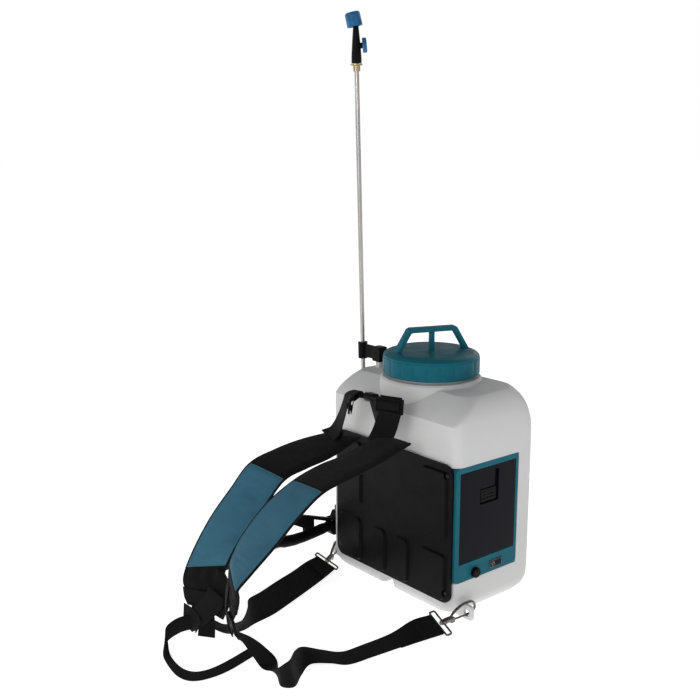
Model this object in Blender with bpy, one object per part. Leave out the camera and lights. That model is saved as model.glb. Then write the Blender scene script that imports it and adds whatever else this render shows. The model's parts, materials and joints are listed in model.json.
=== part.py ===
"""Battery backpack sprayer: a 15 to 20 litre tank with a pump unit, a shoulder harness and a clipped-on spray lance.

Metres, +Z up. The origin is the middle of the tank's base, on the floor. -Y is the wearer's side, +X the
battery door's side, and the lance is clipped on at -X. Run it in Blender 4.5, or from its text editor.
"""

import math

import bmesh
import bpy
from mathutils import Matrix, Vector

GAP = 0.0004  # between pieces that meet

# Tank
HALF_WIDTH = 0.186
FRONT_Y = -0.112
REAR_Y = 0.119
TOP_Z = 0.432
WALL = 0.003
SHOULDER_Z = 0.386  # where the front face ends and its slope to the neck starts
SHOULDER_RUN = 0.0506  # how far that slope goes back
FRONT_CORNER, REAR_CORNER = 0.020, 0.030
BASE_ROUND, REAR_ROUND = 0.034, 0.050
NECK_RING_RADIUS, NECK_RING_TOP = 0.104, 0.4405
NECK_RADIUS, NECK_BORE, NECK_TOP = 0.0865, 0.079, 0.478

# Pump unit, in a recess of the tank's front and +X side
UNIT_LOW = Vector((0.052, -0.1118, 0.075))
UNIT_HIGH = Vector((0.186, 0.0645, 0.3065))
UNIT_FACE = 0.010  # thickness of the frame round the door
DOOR_LOW, DOOR_HIGH = (-0.0995, 0.112), (0.0565, 0.295)  # Y and Z
DOOR_THICK = 0.007
HINGE = Vector((UNIT_HIGH.x - DOOR_THICK / 2, 0, DOOR_LOW[1] + DOOR_THICK / 2))
KNOB_Y, KNOB_Z = -0.055, 0.087
PASSAGE_Y, PASSAGE_Z = -0.045, 0.042  # where the hose leaves the tank's -X side

# Back plate
PLATE_X = (-0.161, 0.181)
PLATE_Z = (0.033, 0.312)
PLATE_BACK, PLATE_FACE, PLATE_RAISED = -0.1125, -0.1180, -0.1225

# Cap
CAP_RADIUS, CAP_BASE, CAP_SHOULDER, CAP_TOP = 0.098, 0.4456, 0.4836, 0.4920
CAP_HANDLE_TOP = 0.540
CAP_HANDLE_TURN = math.radians(70)
CAP_BORE = 0.0895

# Lance: a point of its axis, at the clip, and its direction
LANCE_AT = Vector((-0.201, -0.012, 0.471))
LANCE_WAY = Vector((0, -0.0319, 1)).normalized()
LANCE_RADIUS = 0.0048
LANCE_FOOT, LANCE_HEAD = 0.128, 1.064  # heights of the tube's ends
CLIP_Z = (0.443, 0.479)

# Trigger handle: a valve block under the lance, and a grip that runs towards -Y
GUN_HALF = 0.0125
GUN_LOW, GUN_TOP = 0.057, 0.107
GRIP_AT = Vector((-0.2015, -0.104, 0.080))
GRIP_END = Vector((-0.205, -0.256, 0.072))
LEVER_PIVOT = Vector((-0.2015, -0.106, 0.091))
LEVER_REACH = 0.118
LEVER_RISE = math.tan(math.radians(18.5))
POST_Y = (-0.177, -0.152)  # the lever's post, which slides into the grip

# Harness
WEBBING = 0.050
WEBBING_THICK = 0.0022
PAD_WIDTH, PAD_THICK = 0.083, 0.010
ROD_Y, ROD_Z = -0.149, 0.412
LUG_X, LUG_Y, LUG_Z = 0.199, -0.086, 0.016
SWIVEL_Z = 0.018

HOSE_RADIUS = 0.0045
HOSE_STEP = 0.024
HOSE_ROUTE = (
    (-0.2045, -0.045, 0.042),
    (-0.220, -0.0445, 0.0415),
    (-0.243, -0.036, 0.038),
    (-0.260, -0.013, 0.028),
    (-0.266, 0.022, 0.015),
    (-0.264, 0.065, 0.0065),
    (-0.252, 0.107, 0.0052),
    (-0.233, 0.138, 0.0052),
    (-0.216, 0.169, 0.0052),
    (-0.214, 0.201, 0.0052),
    (-0.236, 0.225, 0.0052),
    (-0.270, 0.228, 0.0052),
    (-0.302, 0.210, 0.0052),
    (-0.322, 0.175, 0.0052),
    (-0.331, 0.128, 0.0052),
    (-0.334, 0.070, 0.0052),
    (-0.332, 0.000, 0.0052),
    (-0.328, -0.070, 0.0052),
    (-0.322, -0.140, 0.0055),
    (-0.315, -0.200, 0.0060),
    (-0.308, -0.262, 0.0075),
    (-0.301, -0.322, 0.010),
    (-0.278, -0.366, 0.019),
    (-0.243, -0.377, 0.032),
    (-0.216, -0.354, 0.047),
    (-0.2070, -0.318, 0.0615),
    (-0.2052, -0.2810, 0.0706),
)


# ---------------------------------------------------------------- materials


def material(name, colour, roughness, metallic=0.0):
    found = bpy.data.materials.get(name)
    if found:
        return found
    made = bpy.data.materials.new(name)
    made.use_nodes = True
    shader = made.node_tree.nodes["Principled BSDF"]
    shader.inputs["Base Color"].default_value = (*colour, 1)
    shader.inputs["Roughness"].default_value = roughness
    shader.inputs["Metallic"].default_value = metallic
    made.diffuse_color = (*colour, 1)
    return made


def polyethylene():
    return material("white_polyethylene", (0.68, 0.68, 0.70), 0.45)


def teal_plastic():
    return material("teal_plastic", (0.012, 0.17, 0.21), 0.42)


def black_plastic():
    return material("black_plastic", (0.018, 0.018, 0.020), 0.5)


def smoked_plastic():
    return material("smoked_plastic", (0.006, 0.006, 0.012), 0.12)


def grey_plastic():
    return material("grey_plastic", (0.12, 0.12, 0.13), 0.45)


def red_plastic():
    return material("red_plastic", (0.45, 0.02, 0.02), 0.4)


def blue_plastic():
    return material("blue_plastic", (0.01, 0.16, 0.42), 0.4)


def rubber():
    return material("black_rubber", (0.015, 0.015, 0.015), 0.7)


def steel():
    return material("polished_steel", (0.62, 0.60, 0.57), 0.22, 1.0)


def brass():
    return material("brass", (0.55, 0.36, 0.13), 0.3, 1.0)


def webbing():
    return material("black_webbing", (0.012, 0.012, 0.013), 0.85)


def pad_fabric():
    return material("pad_fabric", (0.03, 0.13, 0.19), 0.8)


def circuit():
    return material("circuit_board", (0.01, 0.09, 0.03), 0.4)


# ---------------------------------------------------------------- shapes


def solid(name, shape, look, sharp=35):
    """A named object from a bmesh, with its faces pointing out."""
    bmesh.ops.recalc_face_normals(shape, faces=shape.faces)
    mesh = bpy.data.meshes.new(name)
    shape.to_mesh(mesh)
    shape.free()
    mesh.materials.append(look)
    mesh.shade_smooth()
    mesh.set_sharp_from_angle(angle=math.radians(sharp))
    made = bpy.data.objects.new(name, mesh)
    bpy.context.scene.collection.objects.link(made)
    return made


def block(name, low, high, look, rounded=0.0, segments=2, along=None):
    """A box between two corners. Its edges are rounded, or only those along one axis."""
    low, high = Vector(low), Vector(high)
    shape = bmesh.new()
    bmesh.ops.create_cube(shape, size=1)
    size = high - low
    bmesh.ops.transform(shape, verts=shape.verts, matrix=Matrix.Translation((low + high) / 2) @ Matrix.Diagonal((*size, 1)))
    if rounded:
        edges = list(shape.edges)
        if along is not None:
            edges = [e for e in edges if abs((e.verts[0].co - e.verts[1].co)[along]) > size[along] / 2]
        bmesh.ops.bevel(
            shape, geom=edges, offset=rounded, segments=segments, profile=0.5, affect="EDGES"
        )
    return solid(name, shape, look)


def lofted(name, loops, look, closed=False, sharp=35):
    """A body through loops of points that match one to one: its ends are capped, or it closes on itself."""
    shape = bmesh.new()
    rings = [[shape.verts.new(point) for point in loop] for loop in loops]
    following = rings[1:] + rings[:1] if closed else rings[1:]
    for ring, after in zip(rings, following):
        for i in range(len(ring)):
            j = (i + 1) % len(ring)
            shape.faces.new((ring[i], ring[j], after[j], after[i]))
    if not closed:
        shape.faces.new(rings[0])
        shape.faces.new(rings[-1])
    return solid(name, shape, look, sharp)


def turned(name, profile, look, at=(0, 0, 0), way=(0, 0, 1), steps=32, ring=False):
    """A profile of (radius, height) points turned round an axis. Its ends lie on the axis, unless it is a ring."""
    turn = Vector((0, 0, 1)).rotation_difference(Vector(way)).to_matrix()
    shape = bmesh.new()
    rows = []
    for radius, height in profile:
        if radius == 0:
            rows.append([shape.verts.new(Vector(at) + turn @ Vector((0, 0, height)))])
            continue
        angles = [2 * math.pi * k / steps for k in range(steps)]
        points = [Vector((radius * math.cos(a), radius * math.sin(a), height)) for a in angles]
        rows.append([shape.verts.new(Vector(at) + turn @ p) for p in points])
    for row, after in zip(rows, rows[1:] + rows[:1] if ring else rows[1:]):
        for k in range(steps):
            m = (k + 1) % steps
            if len(row) == 1:
                shape.faces.new((row[0], after[m], after[k]))
            elif len(after) == 1:
                shape.faces.new((row[k], row[m], after[0]))
            else:
                shape.faces.new((row[k], row[m], after[m], after[k]))
    return solid(name, shape, look)


def rod(name, start, end, radius, look, steps=20):
    start, end = Vector(start), Vector(end)
    length = (end - start).length
    profile = ((0, 0), (radius, 0), (radius, length), (0, length))
    return turned(name, profile, look, start, end - start, steps)


def prism(name, outline, axis, low, high, look, rounded=0.0):
    """An outline extruded along an axis: its points hold the two other coordinates, in X, Y, Z order."""

    def point(pair, value):
        coordinates = list(pair)
        coordinates.insert(axis, value)
        return coordinates

    made = lofted(name, [[point(p, low) for p in outline], [point(p, high) for p in outline]], look)
    if rounded:
        bevel = made.modifiers.new("Bevel", "BEVEL")
        bevel.width = rounded
        bevel.segments = 2
        bevel.limit_method = "ANGLE"
        bevel.angle_limit = math.radians(50)
    return made


def combine(target, other, operation):
    """Joins another body to this one, or cuts it away, and keeps that body as a hidden tool."""
    modifier = target.modifiers.new(other.name, "BOOLEAN")
    modifier.operation = operation
    modifier.object = other
    other.hide_render = True
    other.display_type = "WIRE"
    return target


def cut(target, *tools):
    for tool in tools:
        combine(target, tool, "DIFFERENCE")
    return target


def fuse(target, *tools):
    for tool in tools:
        combine(target, tool, "UNION")
    return target


def set_origin(made, point):
    """Moves an object's origin onto its joint, and leaves its shape where it is."""
    point = Vector(point)
    made.data.transform(Matrix.Translation(made.matrix_world.inverted() @ (made.matrix_world @ -point)))
    made.location = point
    return made


def smooth_path(points, count):
    """Points along a smooth curve through the given ones, evenly spaced by parameter."""
    points = [Vector(p) for p in points]
    ends = [2 * points[0] - points[1], *points, 2 * points[-1] - points[-2]]
    found = []
    for k in range(count):
        at = k * (len(points) - 1) / (count - 1)
        i = min(int(at), len(points) - 2)
        t = at - i
        a, b, c, d = ends[i : i + 4]
        found.append(
            0.5 * (2 * b + (c - a) * t + (2 * a - 5 * b + 4 * c - d) * t**2 + (3 * b - a - 3 * c + d) * t**3)
        )
    return found


def ribbon(name, edges, thickness, look, count):
    """A strip between pairs of edge points (left, right), of even thickness."""
    left = smooth_path([pair[0] for pair in edges], count)
    right = smooth_path([pair[1] for pair in edges], count)
    middle = [(a + b) / 2 for a, b in zip(left, right)]
    loops = []
    for k in range(count):
        along = middle[min(k + 1, count - 1)] - middle[max(k - 1, 0)]
        across = right[k] - left[k]
        up = across.cross(along).normalized() * thickness / 2
        loops.append((left[k] + up, right[k] + up, right[k] - up, left[k] - up))
    return lofted(name, loops, look, sharp=50)


# ---------------------------------------------------------------- tank


def round_in(distance, radius):
    """How far an edge rounded to this radius pulls in, this far from the end."""
    if distance >= radius:
        return 0.0
    return radius - math.sqrt(radius**2 - (radius - max(distance, 0)) ** 2)


def shoulder(z, low, high, run):
    """How far an oval shoulder between two heights pulls in at a height."""
    part = min(max((z - low) / (high - low), 0.0), 1.0)
    return run * (1 - math.sqrt(1 - part**2))


def tank_section(z, inside):
    """The tank's outline at a height, pulled in by a wall's thickness for its cavity."""
    slope = SHOULDER_RUN * max(0.0, (z - SHOULDER_Z) / (TOP_Z - SHOULDER_Z)) ** 1.25
    front = FRONT_Y + round_in(z, BASE_ROUND * 0.6) + slope + inside
    rear_in = shoulder(z, 0.345, 0.437, 0.040)
    rear = REAR_Y - round_in(z, REAR_ROUND) - rear_in - inside
    side = HALF_WIDTH - round_in(z, BASE_ROUND) - inside
    front_side = side - shoulder(z, 0.378, 0.436, 0.034)
    rear_side = side - rear_in
    loop = []
    corners = (
        (front_side, front, FRONT_CORNER, -90),
        (rear_side, rear, REAR_CORNER, 0),
        (-rear_side, rear, REAR_CORNER, 90),
        (-front_side, front, FRONT_CORNER, 180),
    )
    for x, y, radius, start in corners:
        radius += (HALF_WIDTH - inside - abs(x)) * 0.6 - inside * 0.5
        middle = (x - math.copysign(radius, x), y - math.copysign(radius, y - 0.0035))
        for k in range(5):
            angle = math.radians(start + 22.5 * k)
            loop.append((middle[0] + radius * math.cos(angle), middle[1] + radius * math.sin(angle)))
    return loop


def tank_body(name, inside, look):
    heights = (0, 0.003, 0.010, 0.021, BASE_ROUND, REAR_ROUND, 0.345, 0.366, SHOULDER_Z, 0.398, 0.409, 0.418, 0.4255, 0.4295, TOP_Z)
    loops = []
    for z in heights:
        kept = min(max(z, inside), TOP_Z - inside)
        loops.append([(x, y, kept) for x, y in tank_section(z, inside)])
    return lofted(name, loops, look)


def recess(name, grown):
    """The L-shaped recess that the pump unit stands in, with the hose's way out at the -X side."""
    look = black_plastic()
    side_low = UNIT_LOW - Vector((1, 0, 1)) * (GAP + grown)
    side_low.y = FRONT_Y - 0.02
    side_high = UNIT_HIGH + Vector((0, 1, 1)) * (GAP + grown)
    side_high.x = HALF_WIDTH + 0.02
    made = block(name, side_low, side_high, look)
    front = block(
        name + "_front",
        (-0.150 - grown, FRONT_Y - 0.021, 0.043 - grown),
        (0.070, -0.025 + grown, 0.300 + grown),
        look,
    )
    way_out = block(
        name + "_way_out",
        (-HALF_WIDTH - 0.02, PASSAGE_Y - 0.013 - grown, PASSAGE_Z - 0.013 - grown),
        (-0.120, PASSAGE_Y + 0.013 + grown, PASSAGE_Z + 0.013 + grown),
        look,
    )
    return fuse(made, front, way_out)


def tank_shell():
    look = polyethylene()
    shell = tank_body("tank_shell", 0, look)
    ring_profile = (
        (0, 0.400), (NECK_RING_RADIUS + 0.002, 0.400), (NECK_RING_RADIUS, NECK_RING_TOP - 0.004),
        (NECK_RING_RADIUS - 0.004, NECK_RING_TOP), (NECK_RADIUS, NECK_RING_TOP), (NECK_RADIUS, NECK_TOP), (0, NECK_TOP),
    )  # fmt: skip
    neck = turned("neck_tool", ring_profile, look, steps=40)
    tab = block("clip_tab_tool", (-0.150, -0.020, 0.405), (-0.138, -0.004, 0.470), look, 0.002)
    fuse(shell, neck, tab)
    for side in (-1, 1):
        x0, x1 = sorted((side * 0.150, side * (LUG_X + 0.0145)))
        lug = block("lug_tool", (x0, LUG_Y - 0.003, LUG_Z - 0.0135), (x1, LUG_Y + 0.003, LUG_Z + 0.016), look, 0.006, 3, 1)
        fuse(shell, lug)
    cut(shell, recess("recess_tool", 0))

    cavity = tank_body("cavity_tool", WALL, look)
    under_ring = NECK_RING_RADIUS - WALL
    throat_profile = (
        (0, 0.392), (under_ring, 0.392), (under_ring, NECK_RING_TOP - WALL), (NECK_BORE, NECK_RING_TOP - WALL),
        (NECK_BORE, NECK_TOP + 0.01), (0, NECK_TOP + 0.01),
    )  # fmt: skip
    fuse(cavity, turned("throat_tool", throat_profile, look, steps=40))
    cut(cavity, recess("recess_wall_tool", WALL))
    cut(shell, cavity)

    pocket = block("drain_pocket_tool", (-0.030, FRONT_Y - 0.02, -0.01), (0.014, -0.055, 0.026), look, 0.004)
    floor = block("drain_floor_tool", (-0.033, FRONT_Y - 0.02, -0.02), (0.017, -0.052, 0.029), look)
    cut(cavity, floor)
    cut(shell, pocket)
    for side in (-1, 1):
        cut(shell, rod("lug_hole_tool", (side * LUG_X, LUG_Y - 0.01, LUG_Z), (side * LUG_X, LUG_Y + 0.01, LUG_Z), 0.0072, look, 16))
    return shell


def strainer_basket():
    """The strainer cup that hangs by its flange on the neck's rim."""
    look = grey_plastic()
    flange, outer, inner, floor = NECK_TOP + GAP, 0.0765, 0.0750, 0.385
    profile = (
        (0, floor), (outer - 0.006, floor), (outer, floor + 0.08), (outer, flange), (0.0845, flange),
        (0.0845, flange + 0.0015), (inner, flange + 0.0015), (inner, floor + 0.08), (inner - 0.006, floor + 0.0015),
        (0, floor + 0.0015),
    )  # fmt: skip
    return turned("strainer_basket", profile, look, steps=32)


def tank_cap():
    look = teal_plastic()
    roof = NECK_TOP + 0.0048
    profile = (
        (0, roof), (CAP_BORE, roof), (CAP_BORE, CAP_BASE), (CAP_RADIUS - 0.0015, CAP_BASE), (CAP_RADIUS, CAP_BASE + 0.002),
        (CAP_RADIUS, CAP_SHOULDER), (CAP_RADIUS - 0.004, CAP_SHOULDER + 0.004), (0.082, CAP_TOP), (0, CAP_TOP),
    )  # fmt: skip
    cap = turned("tank_cap", profile, look, steps=40)
    bar = CAP_HANDLE_TOP
    outline = (
        (-0.082, CAP_TOP - 0.002), (-0.054, bar - 0.003), (-0.049, bar), (0.049, bar), (0.054, bar - 0.003),
        (0.082, CAP_TOP - 0.002), (0.071, CAP_TOP - 0.002), (0.047, bar - 0.010), (-0.047, bar - 0.010),
        (-0.071, CAP_TOP - 0.002),
    )  # fmt: skip
    handle = prism("handle_tool", outline, 1, -0.010, 0.010, look, 0.0025)
    post = block("post_tool", (-0.005, -0.004, CAP_TOP - 0.002), (0.005, 0.004, bar - 0.008), look)
    for tool in (handle, post):
        tool.rotation_euler.z = CAP_HANDLE_TURN
    return fuse(cap, handle, post)


def cap_gasket():
    low = NECK_TOP + GAP + 0.0015 + GAP
    profile = ((0.0775, low), (0.0855, low), (0.0855, low + 0.0020), (0.0775, low + 0.0020))
    return turned("cap_gasket", profile, rubber(), steps=40, ring=True)


def drain_cap():
    """The red drain screw in the pocket under the back plate."""
    profile = ((0, 0), (0.009, 0), (0.009, 0.010), (0.011, 0.010), (0.011, 0.014), (0, 0.014))
    return set_origin(turned("drain_cap", profile, red_plastic(), (-0.010, -0.080, 0.0115), steps=20), (-0.010, -0.080, 0.0115))


# ---------------------------------------------------------------- pump unit


def unit_housing():
    look = teal_plastic()
    housing = block("unit_housing", UNIT_LOW, UNIT_HIGH, look, 0.010, 3, 0)
    bay = block(
        "bay_tool",
        UNIT_LOW + Vector((WALL, WALL, WALL)),
        UNIT_HIGH - Vector((UNIT_FACE, WALL, WALL)),
        look,
        0.007,
        3,
        0,
    )
    door = block(
        "door_way_tool",
        (UNIT_HIGH.x - UNIT_FACE - 0.01, DOOR_LOW[0] - 0.0005, DOOR_LOW[1] - 0.0005),
        (UNIT_HIGH.x + 0.01, DOOR_HIGH[0] + 0.0005, DOOR_HIGH[1] + 0.0005),
        look,
    )
    pin = rod("pin_hole_tool", HINGE + Vector((0, DOOR_LOW[0] - 0.0045, 0)), HINGE + Vector((0, DOOR_HIGH[0] + 0.0045, 0)), 0.0019, look, 12)
    shaft = rod("shaft_hole_tool", (0.170, KNOB_Y, KNOB_Z), (0.20, KNOB_Y, KNOB_Z), 0.0045, look, 16)
    return cut(housing, bay, door, pin, shaft)


def battery_door():
    look = smoked_plastic()
    inner = UNIT_HIGH.x - DOOR_THICK
    middle, low = HINGE.x, DOOR_LOW[1]
    radius = DOOR_THICK / 2
    arc = [(middle + radius * math.sin(a), HINGE.z - radius * math.cos(a)) for a in (math.radians(30 * k) for k in range(-3, 4))]
    outline = [*arc, (UNIT_HIGH.x, DOOR_HIGH[1]), (inner, DOOR_HIGH[1])]
    door = prism("battery_door", outline, 1, DOOR_LOW[0], DOOR_HIGH[0], look)
    pocket = block("latch_pocket_tool", (inner + 0.002, -0.045, 0.222), (0.2, 0.007, 0.287), look, 0.003, 2, 0)
    bore = rod("door_bore_tool", (HINGE.x, DOOR_LOW[0] - 0.01, HINGE.z), (HINGE.x, DOOR_HIGH[0] + 0.01, HINGE.z), 0.0019, look, 12)
    return set_origin(cut(door, pocket, bore), HINGE)


def door_pin():
    return rod("door_pin", HINGE + Vector((0, DOOR_LOW[0] - 0.004, 0)), HINGE + Vector((0, DOOR_HIGH[0] + 0.004, 0)), 0.0015, steel(), 12)


def door_latch():
    """A thumb slide in the lower half of the door's pocket."""
    low = UNIT_HIGH.x - DOOR_THICK + 0.002 + GAP
    latch = block("door_latch", (low, -0.041, 0.224), (low + 0.0022, 0.003, 0.250), grey_plastic(), 0.0008)
    ridges = [block("ridge_tool", (low + 0.0018, -0.036, z), (low + 0.0034, -0.002, z + 0.0016), grey_plastic()) for z in (0.230, 0.2365, 0.243)]
    return fuse(latch, *ridges)


def battery_pack():
    look = black_plastic()
    pack = block("battery_pack", (0.0840, -0.062, 0.148), (0.150, 0.016, 0.262), look, 0.006)
    channel = block("channel_tool", (0.08, -0.0405, 0.14), (0.0935, -0.0055, 0.225), look)
    pocket = block("button_pocket_tool", (0.1425, -0.0365, 0.2385), (0.16, -0.0095, 0.256), look)
    return set_origin(cut(pack, channel, pocket), (0.084, -0.023, 0.148))


def battery_button():
    return block("battery_button", (0.1465, -0.036, 0.239), (0.1525, -0.010, 0.2555), red_plastic(), 0.001)


def battery_terminal():
    look = black_plastic()
    base = block("battery_terminal", (UNIT_LOW.x + WALL + GAP, -0.055, 0.130), (0.0835, 0.009, 0.215), look, 0.001)
    return fuse(base, block("tongue_tool", (0.08, -0.040, 0.135), (0.0930, -0.006, 0.205), look))


def control_board():
    board = block("control_board", (0.080, 0.050, 0.120), (0.165, 0.0516, 0.230), circuit())
    posts = [rod("board_post_tool", (x, 0.051, z), (x, UNIT_HIGH.y - WALL - GAP, z), 0.003, circuit(), 12) for x in (0.085, 0.160) for z in (0.125, 0.225)]
    return fuse(board, *posts)


def power_switch():
    body = block("power_switch", (0.152, KNOB_Y - 0.012, KNOB_Z - 0.0085), (UNIT_HIGH.x - UNIT_FACE - GAP, KNOB_Y + 0.012, KNOB_Z + 0.0085), black_plastic(), 0.0015)
    return cut(body, rod("switch_bore_tool", (0.163, KNOB_Y, KNOB_Z), (0.19, KNOB_Y, KNOB_Z), 0.0040, black_plastic(), 16))


def power_knob():
    face = UNIT_HIGH.x + GAP
    stem = face - 0.164
    profile = ((0, -stem), (0.0035, -stem), (0.0035, 0), (0.0105, 0), (0.0105, 0.0060), (0.0090, 0.0075), (0, 0.0075))
    knob = turned("power_knob", profile, black_plastic(), (face, KNOB_Y, KNOB_Z), (1, 0, 0), 28)
    pointer = block("pointer_tool", (face + 0.0060, KNOB_Y - 0.0012, KNOB_Z + 0.0015), (face + 0.01, KNOB_Y + 0.0012, KNOB_Z + 0.012), black_plastic())
    return set_origin(cut(knob, pointer), (face, KNOB_Y, KNOB_Z))


def power_label():
    face = UNIT_HIGH.x + GAP
    return block("power_label", (face, -0.014, 0.0825), (face + 0.0012, 0.022, 0.0985), smoked_plastic(), 0.0015, 2, 0)


def pump():
    """The pump head and its motor, on one axis along X behind the back plate."""
    y, z = -0.068, 0.110
    head = block("pump_head", (-0.088, y - 0.029, z - 0.031), (-0.034, y + 0.029, z + 0.031), black_plastic(), 0.006)
    way_in = rod("way_in_tool", (-0.061, y, z + 0.028), (-0.061, y, z + 0.042), 0.007, black_plastic(), 16)
    way_out = rod("way_out_tool", (-0.086, PASSAGE_Y, z - 0.012), (-0.098, PASSAGE_Y, z - 0.012), 0.007, black_plastic(), 16)
    foot = block("foot_tool", (-0.096, PLATE_BACK + GAP, z - 0.026), (-0.026, y - 0.020, z + 0.026), black_plastic(), 0.002)
    fuse(head, way_in, way_out, foot)
    profile = ((0, 0), (0.012, 0), (0.012, 0.004), (0.0195, 0.004), (0.0195, 0.066), (0.008, 0.068), (0.008, 0.074), (0, 0.074))
    turned("pump_motor", profile, steel(), (-0.034 + GAP, y, z), (1, 0, 0), 28)
    suction = smooth_path(((-0.061, y, z + 0.0430), (-0.061, y, z + 0.058), (-0.063, -0.056, z + 0.078), (-0.065, -0.042, z + 0.086), (-0.065, -0.0264, z + 0.088)), 12)
    tube("suction_hose", suction, 0.006, rubber())
    outlet = smooth_path(((-0.0990, PASSAGE_Y, z - 0.012), (-0.113, PASSAGE_Y, z - 0.014), (-0.124, PASSAGE_Y, z - 0.028), (-0.130, PASSAGE_Y, z - 0.050), (-0.143, PASSAGE_Y, PASSAGE_Z + 0.002), (-0.160, PASSAGE_Y, PASSAGE_Z), (-0.1880, PASSAGE_Y, PASSAGE_Z)), 16)
    tube("outlet_elbow", outlet, 0.0055, rubber())


def tube(name, points, radius, look, resolution=2):
    curve = bpy.data.curves.new(name, "CURVE")
    curve.dimensions = "3D"
    curve.bevel_depth = radius
    curve.bevel_resolution = resolution
    curve.use_fill_caps = True
    spline = curve.splines.new("POLY")
    spline.points.add(len(points) - 1)
    for slot, point in zip(spline.points, points):
        slot.co = (*point, 1)
    curve.materials.append(look)
    made = bpy.data.objects.new(name, curve)
    bpy.context.scene.collection.objects.link(made)
    return made


# ---------------------------------------------------------------- back plate


def rounded_outline(x0, x1, z0, z1, radius, steps=4):
    loop = []
    for x, z, start in ((x1, z0, -90), (x1, z1, 0), (x0, z1, 90), (x0, z0, 180)):
        middle = (x - math.copysign(radius, x - (x0 + x1) / 2), z - math.copysign(radius, z - (z0 + z1) / 2))
        for k in range(steps + 1):
            angle = math.radians(start + 90 * k / steps)
            loop.append((middle[0] + radius * math.cos(angle), middle[1] + radius * math.sin(angle)))
    return loop


SCREW_SPOTS = [(x, z) for x in (PLATE_X[0] + 0.014, PLATE_X[1] - 0.012) for z in (PLATE_Z[0] + 0.022, PLATE_Z[1] - 0.020)]


def back_plate():
    look = black_plastic()
    plate = prism("back_plate", rounded_outline(*PLATE_X, *PLATE_Z, 0.020), 1, PLATE_FACE, PLATE_BACK, look)
    centre = sum(PLATE_X) / 2
    base = PLATE_Z[0] + 0.004
    pads = [
        (side * 0.089, side * 0.160, base if low else 0.160, 0.133 if low else 0.300)
        for side in (-1, 1)
        for low in (True, False)
    ]
    pads += [(side * 0.013, side * 0.056, base, 0.131) for side in (-1, 1)]
    for x0, x1, z0, z1 in pads:
        x0, x1 = sorted((centre + x0, centre + x1))
        outer = [(x, PLATE_FACE + 0.001, z) for x, z in rounded_outline(x0, x1, z0, z1, 0.010, 3)]
        inner = [(x, PLATE_RAISED, z) for x, z in rounded_outline(x0 + 0.004, x1 - 0.004, z0 + 0.004, z1 - 0.004, 0.008, 3)]
        fuse(plate, lofted("raised_tool", [outer, inner], look))
    for x, z in SCREW_SPOTS:
        sink = rod("screw_sink_tool", (x, PLATE_FACE + 0.0015, z), (x, PLATE_RAISED - 0.01, z), 0.0062, look, 20)
        hole = rod("screw_hole_tool", (x, PLATE_BACK + 0.01, z), (x, PLATE_FACE - 0.01, z), 0.0028, look, 12)
        cut(plate, sink, hole)
    return plate


def plate_screws():
    head = PLATE_FACE + 0.0015 - GAP
    shank = PLATE_BACK - 0.0003 - head
    for k, (x, z) in enumerate(SCREW_SPOTS):
        profile = ((0, -shank), (0.0024, -shank), (0.0024, 0), (0.0050, 0), (0.0050, 0.0018), (0.0036, 0.0028), (0, 0.0028))
        turned(f"plate_screw_{k + 1}", profile, steel(), (x, head, z), (0, -1, 0), 16)


# ---------------------------------------------------------------- lance and trigger handle


def on_lance(z):
    return LANCE_AT + LANCE_WAY * ((z - LANCE_AT.z) / LANCE_WAY.z)


def lance():
    foot, head = on_lance(LANCE_FOOT), on_lance(LANCE_HEAD)
    rod("lance_tube", foot, head, LANCE_RADIUS, steel(), 16)

    inner, hexagon, flange = LANCE_RADIUS + GAP, 0.0075, 0.0125
    low = on_lance(1.048)
    collar = ((inner, 0), (hexagon, 0), (hexagon, 0.011), (flange, 0.012), (flange, 0.0152), (inner, 0.0152))
    turned("lance_flange", collar, brass(), low, LANCE_WAY, 24, True)

    base = on_lance(LANCE_HEAD + GAP)
    body = ((0, 0), (0.0105, 0), (0.0105, 0.012), (0.0085, 0.040), (0.0058, 0.072), (0.0052, 0.080), (0, 0.080))
    nozzle = turned("nozzle_body", body, black_plastic(), base, LANCE_WAY, 20)
    side_at, side_way = nozzle_side()
    fuse(nozzle, rod("branch_tool", side_at - side_way * 0.014, side_at, 0.006, black_plastic(), 16))

    top_at, top_way = nozzle_top()
    cap = ((0, 0.0285), (0.0125, 0.0285), (0.0155, 0.0255), (0.0160, 0), (0.0130, 0), (0.0130, 0.0225), (0, 0.0225))
    set_origin(turned("nozzle_cap_top", cap, blue_plastic(), top_at, top_way, 24), top_at)
    disc = ((0, GAP), (0.0150, GAP), (0.0150, 0.0075), (0.0135, 0.0090), (0, 0.0090))
    set_origin(turned("nozzle_cap_side", disc, blue_plastic(), side_at, side_way, 24), side_at)


def nozzle_top():
    """Where the adjustable cone cap's rim is, and which way it sprays: it leans from the lance's line."""
    way = (LANCE_WAY + Vector((-0.13, -0.16, 0))).normalized()
    return on_lance(1.1362) + Vector((-0.0010, -0.0012, 0)), way


def nozzle_side():
    """The middle of the blanked side outlet's face, and its direction."""
    way = Vector((0.63, 0.76, 0.10)).normalized()
    return on_lance(1.098) + way * 0.0125, way


def clip_sleeve(height):
    """The open ring that snaps round the lance, at a height: its mouth faces -X."""
    turn = Vector((0, 0, 1)).rotation_difference(LANCE_WAY).to_matrix()
    arcs = ((0.0105, 155, range(13)), (LANCE_RADIUS + GAP, 138, reversed(range(13))))
    loop = []
    for radius, reach, steps in arcs:
        angles = [math.radians(reach * (k / 6 - 1)) for k in steps]
        loop += [on_lance(height) + turn @ Vector((radius * math.cos(a), radius * math.sin(a), 0)) for a in angles]
    return loop


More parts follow.
